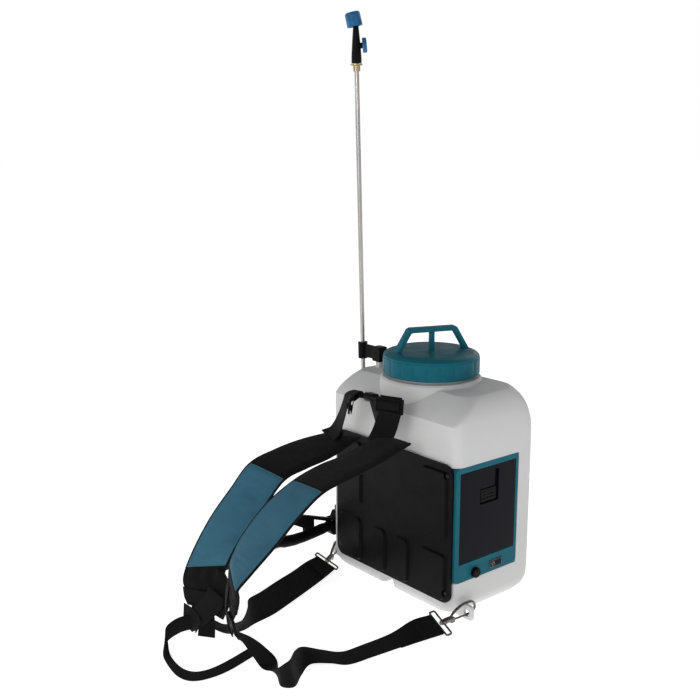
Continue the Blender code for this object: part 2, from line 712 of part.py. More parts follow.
def lance_clip():
    look = black_plastic()
    low, high = CLIP_Z
    clip = lofted("lance_clip", [clip_sleeve(low), clip_sleeve(high)], look)
    arm = block("clip_arm_tool", (LANCE_AT.x + 0.0075, -0.0150, low + 0.004), (-0.156, -0.0092, high - 0.004), look)
    hook = block("clip_hook_tool", (-0.158, -0.0235, low + 0.002), (-0.1335, -0.0005, high - 0.002), look, 0.002)
    tab = block("tab_slot_tool", (-0.150 - GAP, -0.0204, 0.40), (-0.138 + GAP, -0.0036, 0.4705), look)
    return cut(fuse(clip, arm, hook), tab)


GRIP_STATIONS = (  # Y, height of the axis, half width and half height
    (-0.104, 0.0762, 0.0095, 0.0085), (-0.128, 0.0740, 0.0118, 0.0122), (-0.175, 0.0685, 0.0115, 0.0118),
    (-0.205, 0.0680, 0.0118, 0.0125), (-0.232, 0.0705, 0.0120, 0.0128), (-0.240, 0.0712, 0.0102, 0.0105),
    (-0.256, 0.0720, 0.0085, 0.0085),
)  # fmt: skip


def gun_body():
    look = black_plastic()
    loops = []
    for y, z, half_width, half_height in GRIP_STATIONS:
        share = (y - GRIP_AT.y) / (GRIP_END.y - GRIP_AT.y)
        x = GRIP_AT.x + share * (GRIP_END.x - GRIP_AT.x)
        angles = [2 * math.pi * k / 16 for k in range(16)]
        loops.append([(x + half_width * math.cos(a), y, z + half_height * math.sin(a)) for a in angles])
    grip = lofted("grip_tool", loops, look)

    end = LEVER_PIVOT.y - 0.007
    outline = (
        (0.014, GUN_LOW + 0.004), (0.014, GUN_TOP - 0.002), (0.012, GUN_TOP), (-0.091, GUN_TOP), (-0.099, 0.091),
        (-0.099, 0.083), (end, 0.083), (end, GUN_LOW + 0.010), (end + 0.008, GUN_LOW), (0.010, GUN_LOW),
    )  # fmt: skip
    x = LANCE_AT.x
    body = prism("gun_body", outline, 0, x - GUN_HALF, x + GUN_HALF, look, 0.0015)
    valve = rod("valve_tool", on_lance(GUN_TOP - 0.01), on_lance(LANCE_FOOT - 0.001), 0.0105, look, 20)
    ear_shape = ((-0.007, -0.014), (0.007, -0.014), (0.0045, 0.0055), (-0.0045, 0.0055))
    ear_outline = [(LEVER_PIVOT.y + dy, LEVER_PIVOT.z + dz) for dy, dz in ear_shape]
    ears = []
    for way in (-1, 1):
        near = LEVER_PIVOT.x + way * 0.0065
        ears.append(prism("ear_tool", ear_outline, 0, near - 0.0015, near + 0.0015, look))
    fuse(body, grip, valve, *ears)
    slot = block(
        "post_slot_tool",
        (LEVER_PIVOT.x - 0.0080, POST_Y[0] - 0.003, 0.063),
        (LEVER_PIVOT.x + 0.0045, POST_Y[1] + 0.007, 0.13),
        look,
    )
    bore = rod("pivot_hole_tool", LEVER_PIVOT - Vector((0.02, 0, 0)), LEVER_PIVOT + Vector((0.02, 0, 0)), 0.0019, look, 12)
    return cut(body, slot, bore)


def trigger_handle():
    """The handle's body, the nut that takes the lance, and its lever, pin and lock."""
    gun_body()
    inner = LANCE_RADIUS + GAP
    nut = ((inner, 0.0014), (0.0115, 0.0014), (0.0120, 0.003), (0.0120, 0.016), (0.0100, 0.019), (inner, 0.019))
    turned("lance_nut", nut, black_plastic(), on_lance(LANCE_FOOT - 0.001), LANCE_WAY, 24, True)
    rod("lever_pin", LEVER_PIVOT - Vector((0.0085, 0, 0)), LEVER_PIVOT + Vector((0.0085, 0, 0)), 0.0015, steel(), 12)
    trigger_lever()
    low = Vector((LANCE_AT.x - 0.0045, -0.0905, GUN_TOP + GAP))
    block("trigger_lock", low, low + Vector((0.009, 0.013, 0.013)), red_plastic(), 0.0015)


def trigger_lever():
    look = black_plastic()
    y, z = LEVER_PIVOT.y, LEVER_PIVOT.z

    def bar(reach, lift):
        return y - reach, z + LEVER_RISE * reach + lift

    nose = [(y + 0.0042 * math.cos(a), z + 0.0042 * math.sin(a)) for a in (math.radians(k) for k in (-90, -45, 0, 45, 90))]
    outline = [
        *nose, bar(LEVER_REACH - 0.006, 0.0035), bar(LEVER_REACH, 0.001), bar(LEVER_REACH + 0.002, -0.006),
        bar(LEVER_REACH - 0.003, -0.018), (POST_Y[0] - 0.010, 0.0935), (POST_Y[0], 0.089), (POST_Y[0], 0.077),
        (POST_Y[1], 0.077), bar(y - POST_Y[1], -0.0035),
    ]  # fmt: skip
    lever = prism("trigger_lever", outline, 0, LEVER_PIVOT.x - 0.0045, LEVER_PIVOT.x + 0.0045, look)
    lean = (GRIP_END.x - LEVER_PIVOT.x) / (GRIP_END.y - y)
    for vertex in lever.data.vertices:
        vertex.co.x += lean * (vertex.co.y - y)
    bore = rod("lever_bore_tool", LEVER_PIVOT - Vector((0.02, 0, 0)), LEVER_PIVOT + Vector((0.02, 0, 0)), 0.0019, look, 12)
    return set_origin(cut(lever, bore), LEVER_PIVOT)


def hose():
    """The spray hose, from the nut at the tank's side round the back to the grip's end."""
    route = smooth_path(HOSE_ROUTE, 260)
    kept = [route[0]]
    for point in route[1:]:
        if (point - kept[-1]).length >= HOSE_STEP:
            kept.append(point)
    kept[-1] = route[-1]
    tube("spray_hose", kept, HOSE_RADIUS, rubber())
    length = -0.1884 - HOSE_ROUTE[0][0] - 3 * GAP
    nut = ((0, 0), (0.0110, 0), (0.0110, 0.0090), (0.0080, length), (0, length))
    turned("hose_nut", nut, black_plastic(), (-0.1884, PASSAGE_Y, PASSAGE_Z), (-1, 0, 0), 20)
    end = GRIP_END - Vector((0, 0.001, 0))
    way = Vector(HOSE_ROUTE[-1]) - end
    length = way.length - 3 * GAP
    relief = ((0, 0), (0.0075, 0), (0.0060, length), (0, length))
    turned("hose_relief", relief, rubber(), end, way, 16)


# ---------------------------------------------------------------- harness


def anchor():
    look = black_plastic()
    foot, arm = FRONT_Y - GAP, ROD_Z - 0.008
    outline = (
        (foot, 0.350), (foot, 0.3845), (ROD_Y + 0.016, ROD_Z + 0.006), (ROD_Y, ROD_Z + 0.0085), (ROD_Y - 0.0085, ROD_Z),
        (ROD_Y, ROD_Z - 0.0085), (ROD_Y + 0.010, arm), (-0.121, 0.352),
    )  # fmt: skip
    bracket = prism("anchor_bracket", outline, 0, -0.035, -0.011, look, 0.0015)
    cut(bracket, rod("rod_hole_tool", (-0.06, ROD_Y, ROD_Z), (0.03, ROD_Y, ROD_Z), 0.0034, look, 16))
    rod("anchor_rod", (-0.061, ROD_Y, ROD_Z), (0.064, ROD_Y, ROD_Z), 0.003, steel(), 16)


def slider(name, at, width, height, thick, bar, yaw, tilt, look):
    """A webbing buckle: a frame with a bar across its middle."""
    frame = block(name, (-width / 2, -thick / 2, -height / 2), (width / 2, thick / 2, height / 2), look, 0.0015)
    slot = (height - 3 * bar) / 2
    for side in (-1, 1):
        middle = side * (bar + slot) / 2
        tool = block("slot_tool", (-width / 2 + bar, -0.02, middle - slot / 2), (width / 2 - bar, 0.02, middle + slot / 2), look)
        tool.parent = frame
        cut(frame, tool)
    frame.location = at
    frame.rotation_euler = (tilt, 0, yaw)
    return frame


def edge_pairs(stations):
    """Edge points from (middle, direction across, width) stations."""
    return [(Vector(m) - Vector(a).normalized() * w / 2, Vector(m) + Vector(a).normalized() * w / 2) for m, a, w in stations]


def pad(name, stations):
    return ribbon(name, edge_pairs(stations), PAD_THICK, pad_fabric(), 22)


def harness():
    wide = PAD_WIDTH
    pad("pad_right", (
        ((0.070, -0.160, 0.350), (1, -0.02, 0.02), wide), ((0.070, -0.240, 0.328), (1, 0.08, 0.02), wide),
        ((0.070, -0.310, 0.317), (1, 0.05, -0.04), wide), ((0.070, -0.373, 0.302), (1, 0.04, 0.0), wide),
        ((0.070, -0.431, 0.270), (1, 0.14, -0.02), wide), ((0.070, -0.483, 0.227), (1, 0.08, 0.0), wide),
        ((0.070, -0.517, 0.196), (1, -0.26, -0.12), wide), ((0.070, -0.534, 0.1765), (1, -0.49, -0.26), wide * 0.97),
        ((0.072, -0.537, 0.155), (1, -0.40, -0.25), wide * 0.86), ((0.082, -0.545, 0.130), (1, -0.38, -0.30), wide * 0.52),
    ))  # fmt: skip
    pad("pad_left", (
        ((-0.080, -0.162, 0.324), (1, 0.10, 0.08), wide), ((-0.080, -0.237, 0.311), (1, 0.18, -0.22), wide),
        ((-0.080, -0.301, 0.302), (1, 0.19, -0.26), wide), ((-0.080, -0.357, 0.288), (1, 0.33, -0.24), wide),
        ((-0.080, -0.402, 0.247), (1, 0.36, -0.20), wide), ((-0.080, -0.449, 0.202), (1, 0.37, -0.10), wide),
        ((-0.080, -0.487, 0.152), (1, 0.50, 0.20), wide * 1.06), ((-0.080, -0.507, 0.110), (1, 0.55, 0.24), wide * 0.98),
        ((-0.078, -0.510, 0.078), (1, 0.50, 0.16), wide * 0.56),
    ))  # fmt: skip

    look = black_plastic()
    slider("triglide_right", (0.051, -0.1600, 0.412), 0.060, 0.030, 0.0045, 0.0050, math.radians(20), math.radians(-6), look)
    slider("triglide_left", (-0.053, -0.1720, 0.398), 0.056, 0.032, 0.0045, 0.0055, math.radians(-42), math.radians(-6), look)
    slider("ladder_lock_right", (0.094, -0.5560, 0.1060), 0.044, 0.028, 0.006, 0.005, math.radians(-20), math.radians(12), look)
    slider("ladder_lock_left", (-0.076, -0.5115, 0.0530), 0.044, 0.030, 0.006, 0.005, math.radians(28), math.radians(8), look)

    # Each strap is a list of (one edge, other edge) pairs along it.
    strap("strap_upper_right", (
        ((0.032, -0.1725, 0.396), (0.077, -0.1555, 0.390)), ((0.024, -0.1755, 0.370), (0.069, -0.1555, 0.365)),
        ((0.025, -0.1840, 0.3620), (0.070, -0.1640, 0.3600)), ((0.033, -0.2000, 0.3570), (0.079, -0.1810, 0.3560)),
        ((0.044, -0.2180, 0.3520), (0.090, -0.2000, 0.3515)),
    ), 12)  # fmt: skip
    strap("strap_upper_left", (
        ((-0.068, -0.1700, 0.379), (-0.041, -0.1960, 0.375)), ((-0.074, -0.1740, 0.364), (-0.046, -0.1980, 0.355)),
        ((-0.086, -0.1780, 0.350), (-0.048, -0.1940, 0.338)), ((-0.096, -0.1900, 0.3420), (-0.050, -0.2000, 0.3270)),
        ((-0.100, -0.2080, 0.3385), (-0.053, -0.2140, 0.3240)),
    ), 12)  # fmt: skip
    strap("strap_lower_right", (
        ((0.082, -0.5490, 0.0880), (0.118, -0.5600, 0.0880)), ((0.090, -0.5430, 0.0740), (0.136, -0.5460, 0.0900)),
        ((0.110, -0.5312, 0.0480), (0.151, -0.5260, 0.0740)), ((0.132, -0.5242, 0.0220), (0.170, -0.5119, 0.0520)),
        ((0.145, -0.5164, 0.0045), (0.168, -0.5030, 0.0460)), ((0.169, -0.5091, 0.0018), (0.176, -0.5010, 0.0500)),
        ((0.181, -0.4900, 0.0018), (0.170, -0.4900, 0.0490)), ((0.164, -0.4630, 0.0050), (0.138, -0.4560, 0.0400)),
        ((0.151, -0.4320, 0.0100), (0.113, -0.4200, 0.0240)), ((0.164, -0.3990, 0.0060), (0.120, -0.3830, 0.0080)),
        ((0.184, -0.3720, 0.0025), (0.141, -0.3540, 0.0028)), ((0.191, -0.3220, 0.0025), (0.146, -0.3100, 0.0028)),
        ((0.198, -0.2590, 0.0025), (0.152, -0.2440, 0.0060)), ((0.207, -0.2130, 0.0035), (0.166, -0.2020, 0.0250)),
        ((0.219, -0.1700, 0.0070), (0.179, -0.1690, 0.0300)),
    ), 40)  # fmt: skip
    strap("strap_lower_left", (
        ((-0.094, -0.5160, 0.0340), (-0.058, -0.4980, 0.0340)), ((-0.074, -0.5020, 0.0180), (-0.036, -0.4860, 0.0300)),
        ((-0.045, -0.4800, 0.0060), (-0.018, -0.4600, 0.0380)), ((-0.038, -0.4480, 0.0040), (-0.034, -0.4380, 0.0500)),
        ((-0.048, -0.4120, 0.0030), (-0.066, -0.4140, 0.0480)), ((-0.056, -0.3640, 0.0030), (-0.087, -0.3720, 0.0420)),
        ((-0.076, -0.3060, 0.0030), (-0.112, -0.3180, 0.0380)), ((-0.098, -0.2460, 0.0030), (-0.134, -0.2590, 0.0360)),
        ((-0.118, -0.1920, 0.0040), (-0.157, -0.2070, 0.0340)), ((-0.136, -0.1470, 0.0055), (-0.172, -0.1670, 0.0300)),
    ), 30)  # fmt: skip
    strap("strap_tail_left", (
        ((-0.084, -0.5300, 0.0160), (-0.082, -0.5320, 0.0480)), ((-0.086, -0.5560, 0.0160), (-0.088, -0.5600, 0.0460)),
        ((-0.079, -0.5870, 0.0110), (-0.086, -0.5840, 0.0360)), ((-0.057, -0.6080, 0.0040), (-0.073, -0.5880, 0.0160)),
        ((-0.022, -0.6190, 0.0025), (-0.045, -0.5990, 0.0030)), ((0.022, -0.6250, 0.0020), (0.000, -0.6050, 0.0020)),
        ((0.051, -0.6160, 0.0020), (0.027, -0.5970, 0.0020)), ((0.064, -0.5900, 0.0020), (0.038, -0.5750, 0.0020)),
        ((0.065, -0.5480, 0.0020), (0.036, -0.5370, 0.0020)), ((0.052, -0.4930, 0.0020), (0.023, -0.4840, 0.0020)),
    ), 30)  # fmt: skip


def strap(name, edges, count):
    return ribbon(name, edges, WEBBING_THICK, webbing(), count)


def wire(name, points, radius, look, closed=False, sides=7):
    """A bent wire through its points: a round section carried along without twisting."""
    points = [Vector(p) for p in points]
    count = len(points)
    normal = None
    loops = []
    for k, point in enumerate(points):
        before = points[k - 1] if k or closed else point
        after = points[(k + 1) % count] if k < count - 1 or closed else point
        way = (after - before).normalized()
        normal = way.orthogonal() if normal is None else normal - way * normal.dot(way)
        normal.normalize()
        other = way.cross(normal)
        angles = [2 * math.pi * n / sides for n in range(sides)]
        loops.append([point + (normal * math.cos(a) + other * math.sin(a)) * radius for a in angles])
    return lofted(name, loops, look, closed, 50)


def snap_hook(side, word, yaw):
    """A swivel snap in the tank's lug: the webbing's loop, the hook that turns in it, and the sprung gate.

    It is built along -Y from the lug, and then swung round the lug by its yaw.
    """
    look = steel()
    before = set(bpy.data.objects)
    x = side * LUG_X
    swivel_y = LUG_Y - 0.064

    def at(y, z, dx=0.0):
        return Vector((x + side * dx, y, z))

    width = Vector((0.87, 0, -0.49)).normalized() * 0.0275
    front, back = at(swivel_y - 0.003, SWIVEL_Z), at(swivel_y - 0.0165, SWIVEL_Z)
    corner = Vector((0, 0.0015, 0))
    shorter = width * 0.93
    ring = (
        front - shorter, front + shorter, front + width - corner, back + width + corner,
        back + shorter, back - shorter, back - width + corner, front - width - corner,
    )  # fmt: skip
    loop = wire(f"hook_loop_{word}", ring, 0.0021, look, True)
    eye = rod("loop_eye_tool", at(swivel_y + 0.0012, SWIVEL_Z), at(swivel_y - 0.0065, SWIVEL_Z), 0.0052, look, 16)
    bore = rod("loop_bore_tool", at(swivel_y + 0.01, SWIVEL_Z), at(swivel_y - 0.009, SWIVEL_Z), 0.0028, look, 12)
    cut(fuse(loop, eye), bore)

    turns = ((-0.1340, 0.019), (-0.125, 0.028), (-0.105, 0.0365), (-0.080, 0.0375), (-0.068, 0.030), (-0.067, 0.019),
             (-0.078, 0.0135), (-0.0925, 0.0128))  # fmt: skip
    hook = wire(f"hook_body_{word}", smooth_path([at(y, z) for y, z in turns], 20), 0.0028, look)
    barrel = rod("barrel_tool", at(swivel_y + 0.0018, SWIVEL_Z), at(-0.1325, SWIVEL_Z), 0.0058, look, 16)
    pin = rod("swivel_pin_tool", at(swivel_y - 0.0080, SWIVEL_Z), at(swivel_y + 0.005, SWIVEL_Z), 0.0024, look, 12)
    head = rod("pin_head_tool", at(swivel_y - 0.0092, SWIVEL_Z), at(swivel_y - 0.0069, SWIVEL_Z), 0.0042, look, 12)
    fork = block("fork_tool", at(-0.1345, 0.0105) - Vector((0.005, 0, 0)), at(-0.1240, 0.0205) + Vector((0.005, 0, 0)), look, 0.001)
    fuse(hook, barrel, pin, head, fork)
    slot = block("fork_slot_tool", at(-0.1320, 0.005) - Vector((0.0026, 0, 0)), at(-0.12, 0.0185) + Vector((0.0026, 0, 0)), look)
    pivot = at(-0.1280, 0.0142)
    socket = rod("gate_socket_tool", pivot - Vector((0.0043, 0, 0)), pivot + Vector((0.0043, 0, 0)), 0.0016, look, 12)
    cut(hook, slot, socket)

    gate = rod(f"hook_gate_{word}", pivot, at(-0.0932, 0.0129), 0.0021, look, 10)
    trunnion = rod("trunnion_tool", pivot - Vector((0.0040, 0, 0)), pivot + Vector((0.0040, 0, 0)), 0.0012, look, 10)
    boss = rod("gate_boss_tool", pivot - Vector((0.0022, 0, 0)), pivot + Vector((0.0022, 0, 0)), 0.0028, look, 12)
    set_origin(fuse(gate, trunnion, boss), pivot)
    set_origin(hook, at(swivel_y, SWIVEL_Z))

    swing = bpy.data.objects.new(f"hook_swing_{word}", None)
    bpy.context.scene.collection.objects.link(swing)
    swing.location = (x, LUG_Y, 0)
    for piece in set(bpy.data.objects) - before - {swing}:
        piece.parent = swing
        piece.location -= swing.location
    swing.rotation_euler.z = yaw


def main():
    for leftover in list(bpy.data.objects):
        bpy.data.objects.remove(leftover, do_unlink=True)
    tank_shell()
    strainer_basket()
    tank_cap()
    cap_gasket()
    drain_cap()
    unit_housing()
    battery_door()
    door_pin()
    door_latch()
    battery_pack()
    battery_button()
    battery_terminal()
    control_board()
    power_switch()
    power_knob()
    power_label()
    pump()
    back_plate()
    plate_screws()
    lance()
    lance_clip()
    trigger_handle()
    hose()
    anchor()
    harness()
    snap_hook(1, "right", 0)
    snap_hook(-1, "left", math.radians(32))


main()
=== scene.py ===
"""The looks of the backpack sprayer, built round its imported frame: harness, hose, fittings and studio."""

import json
import math

import bmesh
import bpy
from mathutils import Matrix, Vector, noise


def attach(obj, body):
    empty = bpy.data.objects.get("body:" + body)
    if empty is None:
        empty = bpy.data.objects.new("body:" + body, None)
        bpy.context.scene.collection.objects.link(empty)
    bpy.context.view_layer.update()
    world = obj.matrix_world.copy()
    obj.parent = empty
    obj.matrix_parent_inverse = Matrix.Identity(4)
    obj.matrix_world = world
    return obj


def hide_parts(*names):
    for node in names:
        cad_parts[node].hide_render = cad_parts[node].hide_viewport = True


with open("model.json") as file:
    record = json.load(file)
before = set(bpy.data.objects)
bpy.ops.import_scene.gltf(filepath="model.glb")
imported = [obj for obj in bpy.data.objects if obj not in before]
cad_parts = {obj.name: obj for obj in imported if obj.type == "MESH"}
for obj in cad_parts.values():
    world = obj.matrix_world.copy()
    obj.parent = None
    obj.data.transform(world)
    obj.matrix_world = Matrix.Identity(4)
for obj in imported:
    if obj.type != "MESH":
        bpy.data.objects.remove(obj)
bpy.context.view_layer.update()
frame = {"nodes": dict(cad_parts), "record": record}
nodes = frame["nodes"]
ROOT = "sprayer"


def add_object(name, data):
    """A new object, linked to the scene."""
    made = bpy.data.objects.new(name, data)
    bpy.context.scene.collection.objects.link(made)
    return made


# ---------------------------------------------------------------- camera

CAMERA_PLACE = (1.4336, -1.4110, 0.9171)
CAMERA_TILT, CAMERA_TURN = math.radians(78.006), math.radians(50.19)
LENS, SENSOR = 51.68, 36

camera = add_object("camera", bpy.data.cameras.new("camera"))
camera.location = CAMERA_PLACE
camera.rotation_euler = (CAMERA_TILT, 0, CAMERA_TURN)
camera.data.lens = LENS
camera.data.sensor_width = SENSOR
bpy.context.scene.camera = camera


# ---------------------------------------------------------------- shapes


def smooth_path(points, count):
    """Points along a smooth curve through the given ones, evenly spaced by parameter."""
    points = [Vector(p) for p in points]
    ends = [2 * points[0] - points[1], *points, 2 * points[-1] - points[-2]]
    found = []
    for k in range(count):
        at = k * (len(points) - 1) / (count - 1)
        i = min(int(at), len(points) - 2)
        t = at - i
        a, b, c, d = ends[i : i + 4]
        found.append(
            0.5 * (2 * b + (c - a) * t + (2 * a - 5 * b + 4 * c - d) * t**2 + (3 * b - a - 3 * c + d) * t**3)
        )
    return found


def piece(name, mesh, looks, body=ROOT, replaced=()):
    """A visual piece with its materials, which rides a body and stands in for the CAD nodes it replaces."""
    made = add_object(name, mesh)
    for look in looks:
        mesh.materials.append(look)
    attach(made, body)
    if replaced:
        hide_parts(*replaced)
    return made


def sweep(name, loops, pick=None):
    """A mesh through rings of points, capped at its ends, with UVs in metres across and along.

    pick(ring, column) gives a face's material index.
    """
    shape = bmesh.new()
    uv = shape.loops.layers.uv.new("metres")
    rings = [[shape.verts.new(p) for p in loop] for loop in loops]
    size = len(loops[0])
    along = [0.0]
    for a, b in zip(loops, loops[1:]):
        along.append(along[-1] + (sum(b, Vector()) / size - sum(a, Vector()) / size).length)
    girth = loops[len(loops) // 2]
    across = [0.0]
    for k in range(size):
        across.append(across[-1] + (girth[(k + 1) % size] - girth[k]).length)
    for i, (a, b) in enumerate(zip(rings, rings[1:])):
        for k in range(size):
            j = (k + 1) % size
            face = shape.faces.new((a[k], a[j], b[j], b[k]))
            face.smooth = True
            if pick:
                face.material_index = pick(i, k)
            corners = ((k, i), (k + 1, i), (k + 1, i + 1), (k, i + 1))
            for loop, (column, ring) in zip(face.loops, corners):
                loop[uv].uv = (across[column], along[ring])
    shape.faces.new(rings[0])
    shape.faces.new(list(reversed(rings[-1])))
    bmesh.ops.recalc_face_normals(shape, faces=shape.faces)
    mesh = bpy.data.meshes.new(name)
    shape.to_mesh(mesh)
    shape.free()
    return mesh


def frames(pairs, count):
    """Along a band: its middle, half-width vector and outward normal at each of count steps."""
    left = smooth_path([p[0] for p in pairs], count)
    right = smooth_path([p[1] for p in pairs], count)
    found = []
    for k in range(count):
        i, j = max(k - 1, 0), min(k + 1, count - 1)
        along = (left[j] + right[j] - left[i] - right[i]) / 2
        across = (right[k] - left[k]) / 2
        found.append(((left[k] + right[k]) / 2, across, along.cross(across).normalized()))
    return found


def tube(name, points, radius, look, sides):
    """A round rod along a path of points."""
    points = [Vector(p) for p in points]
    last = len(points) - 1
    turns = [2 * math.pi * a / sides for a in range(sides)]
    loops = []
    normal = None
    for k, point in enumerate(points):
        along = (points[min(k + 1, last)] - points[max(k - 1, 0)]).normalized()
        if normal is None:
            normal = along.orthogonal().normalized()
        normal = (normal - along * normal.dot(along)).normalized()
        other = along.cross(normal)
        loops.append([point + (normal * math.cos(turn) + other * math.sin(turn)) * radius for turn in turns])
    return piece(name, sweep(name, loops), [look])


# ---------------------------------------------------------------- materials

DULL_GLOSS = 0.10  # the specular level of all that isn't metal
CLOTH_SHEEN = 0.04
WEAVE_ZOOM = 10  # the scale of the UVs under a weave
WEAVE_RATE = 0.31  # with this, a weave repeats every 0.64 of its pitch


class Look:
    """A Principled material and short ways to add its procedural detail."""

    def __init__(self, name, colour, roughness, metallic=0.0, **sockets):
        self.material = bpy.data.materials.new(name)
        self.material.use_nodes = True
        self.tree = self.material.node_tree
        self.shader = self.tree.nodes["Principled BSDF"]
        self.shader.inputs["Base Color"].default_value = (*colour, 1)
        self.shader.inputs["Roughness"].default_value = roughness
        self.shader.inputs["Metallic"].default_value = metallic
        if not metallic:
            self.shader.inputs["Specular IOR Level"].default_value = DULL_GLOSS
        for key, value in sockets.items():
            self.shader.inputs[key.replace("_", " ")].default_value = value
        self.normal = None

    def add(self, kind, **settings):
        """A new node with its settings."""
        node = self.tree.nodes.new("ShaderNode" + kind)
        for key, value in settings.items():
            setattr(node, key, value)
        return node

    def link(self, out, into):
        self.tree.links.new(out, into)

    def place(self, scale, uv, turn=0.0):
        """Object or UV coordinates, scaled, and turned about their third axis."""
        coordinates = self.add("TexCoord").outputs["UV" if uv else "Object"]
        mapping = self.add("Mapping")
        mapping.inputs["Scale"].default_value = scale
        mapping.inputs["Rotation"].default_value = (0, 0, turn)
        self.link(coordinates, mapping.inputs["Vector"])
        return mapping.outputs["Vector"]

    def noise(self, scale, detail, stretch=(1, 1, 1), uv=False):
        """Smooth noise over the piece."""
        texture = self.add("TexNoise")
        texture.inputs["Scale"].default_value = scale
        texture.inputs["Detail"].default_value = detail
        self.link(self.place(stretch, uv), texture.inputs["Vector"])
        return texture.outputs["Fac"]

    def wave(self, scale, turn=0.0):
        """Even bands over the UVs, which run the other way after a quarter turn."""
        texture = self.add("TexWave", wave_type="BANDS", bands_direction="X")
        texture.inputs["Scale"].default_value = scale
        self.link(self.place([WEAVE_ZOOM] * 3, True, turn), texture.inputs["Vector"])
        return texture.outputs["Fac"]

    def ramp(self, factor, low, high, start=0.0, end=1.0):
        """Goes from low to high as a factor goes from start to end, and stops there."""
        node = self.add("MapRange", clamp=True)
        for key, value in (("From Min", start), ("From Max", end), ("To Min", low), ("To Max", high)):
            node.inputs[key].default_value = value
        self.link(factor, node.inputs["Value"])
        return node.outputs["Result"]

    def product(self, a, b):
        """Two factors multiplied."""
        node = self.add("Math", operation="MULTIPLY")
        self.link(a, node.inputs[0])
        self.link(b, node.inputs[1])
        return node.outputs[0]

    def tint(self, factor, other):
        """Blends the colour so far towards another one by a factor."""
        node = self.add("MixRGB")
        self.link(factor, node.inputs["Fac"])
        base = self.shader.inputs["Base Color"]
        if base.is_linked:
            self.link(base.links[0].from_socket, node.inputs["Color1"])
        else:
            node.inputs["Color1"].default_value = base.default_value
        node.inputs["Color2"].default_value = (*other, 1)
        self.link(node.outputs["Color"], base)

    def rough(self, factor, low, high):
        """Varies the roughness with the middle of a factor's range."""
        self.link(self.ramp(factor, low, high, 0.3, 0.7), self.shader.inputs["Roughness"])

    def bump(self, height, distance, strength):
        """Adds relief over any that is there already."""
        node = self.add("Bump")
        node.inputs["Distance"].default_value = distance
        node.inputs["Strength"].default_value = strength
        self.link(height, node.inputs["Height"])
        if self.normal:
            self.link(self.normal, node.inputs["Normal"])
        self.normal = node.outputs["Normal"]
        self.link(self.normal, self.shader.inputs["Normal"])

    def wear(self, other):
        """Paler edges, where hands and floors rub."""
        edge = self.ramp(self.add("NewGeometry").outputs["Pointiness"], 0, 0.7, 0.515, 0.58)
        broken = self.ramp(self.noise(60, 4), 0, 1, 0.35, 0.65)
        self.tint(self.product(edge, broken), other)


def moulded(name, colour, roughness, grain=0.00012, size=1400, spread=0.35, worn=None, **sockets):
    """A moulded plastic: fine grain, slow changes of shade and gloss, and rubbed edges if asked for."""
    look = Look(name, colour, roughness, **sockets)
    darker = [c * (1 - spread) for c in colour]
    look.tint(look.ramp(look.noise(9, 4), 0, 0.6, 0.45, 0.75), darker)
    if worn:
        look.wear(worn)
    look.rough(look.noise(35, 5), roughness - 0.07, roughness + 0.09)
    look.bump(look.noise(size, 2), grain, 0.6)
    look.bump(look.noise(26, 2), 0.00035, 0.25)
    return look.material


def metal(name, colour, roughness, scale=300, stretch=(1, 1, 1)):
    """A metal with fine streaks and darker patches. A low stretch draws the streaks out along its axis."""
    look = Look(name, colour, roughness, 1.0)
    streaks = look.noise(scale, 3, stretch)
    look.rough(streaks, roughness - 0.06, roughness + 0.12)
    look.tint(look.ramp(look.noise(14, 4), 0, 0.35, 0.45, 0.8), [c * 0.6 for c in colour])
    look.bump(streaks, 0.00005, 0.4)
    return look.material


def woven(name, colour, pale, pitch, depth, roughness=0.8, ribs=0):
    """Cloth or webbing, paler where its warp and weft cross. With ribs, a rib is so many threads wide."""
    look = Look(name, colour, roughness, Sheen_Weight=CLOTH_SHEEN, Sheen_Roughness=0.5)
    turns = 1 / pitch / 2 / math.pi * WEAVE_RATE
    cross = look.product(look.wave(turns), look.wave(turns, math.pi / 2))
    look.tint(look.ramp(cross, 0, 0.75, 0.3, 1.0), pale)
    look.tint(look.ramp(look.noise(22, 4, uv=True), 0, 0.35, 0.5, 0.8), [c * 0.5 for c in colour])
    look.bump(cross, depth, 0.8)
    if ribs:
        look.bump(look.wave(turns / ribs), depth * 1.5, 0.4)
    return look.material


def blow_moulded(name):
    """The tank's cloudy white, which lets a little light in."""
    inside = {"Subsurface_Weight": 0.35, "Subsurface_Scale": 0.012, "Subsurface_Radius": (1.0, 0.95, 0.9)}
    look = Look(name, (0.66, 0.655, 0.65), 0.36, **inside)
    look.tint(look.ramp(look.noise(3.2, 3), 0, 0.5, 0.4, 0.75), (0.70, 0.705, 0.72))
    look.tint(look.ramp(look.noise(45, 5), 0, 0.18, 0.5, 0.8), (0.66, 0.65, 0.63))
    look.rough(look.noise(18, 4), 0.30, 0.45)
    look.bump(look.noise(420, 2), 0.00012, 0.5)
    look.bump(look.noise(12, 2), 0.0012, 0.3)
    return look.material


def hose_rubber(name):
    """The hose's rubber, with a faint shine."""
    look = Look(name, (0.013, 0.013, 0.014), 0.42, Coat_Weight=0.15, Coat_Roughness=0.3)
    look.tint(look.ramp(look.noise(16, 4), 0, 0.7, 0.4, 0.75), (0.024, 0.024, 0.026))
    look.rough(look.noise(40, 4), 0.34, 0.55)
    look.bump(look.noise(500, 3), 0.0002, 0.6)
    return look.material


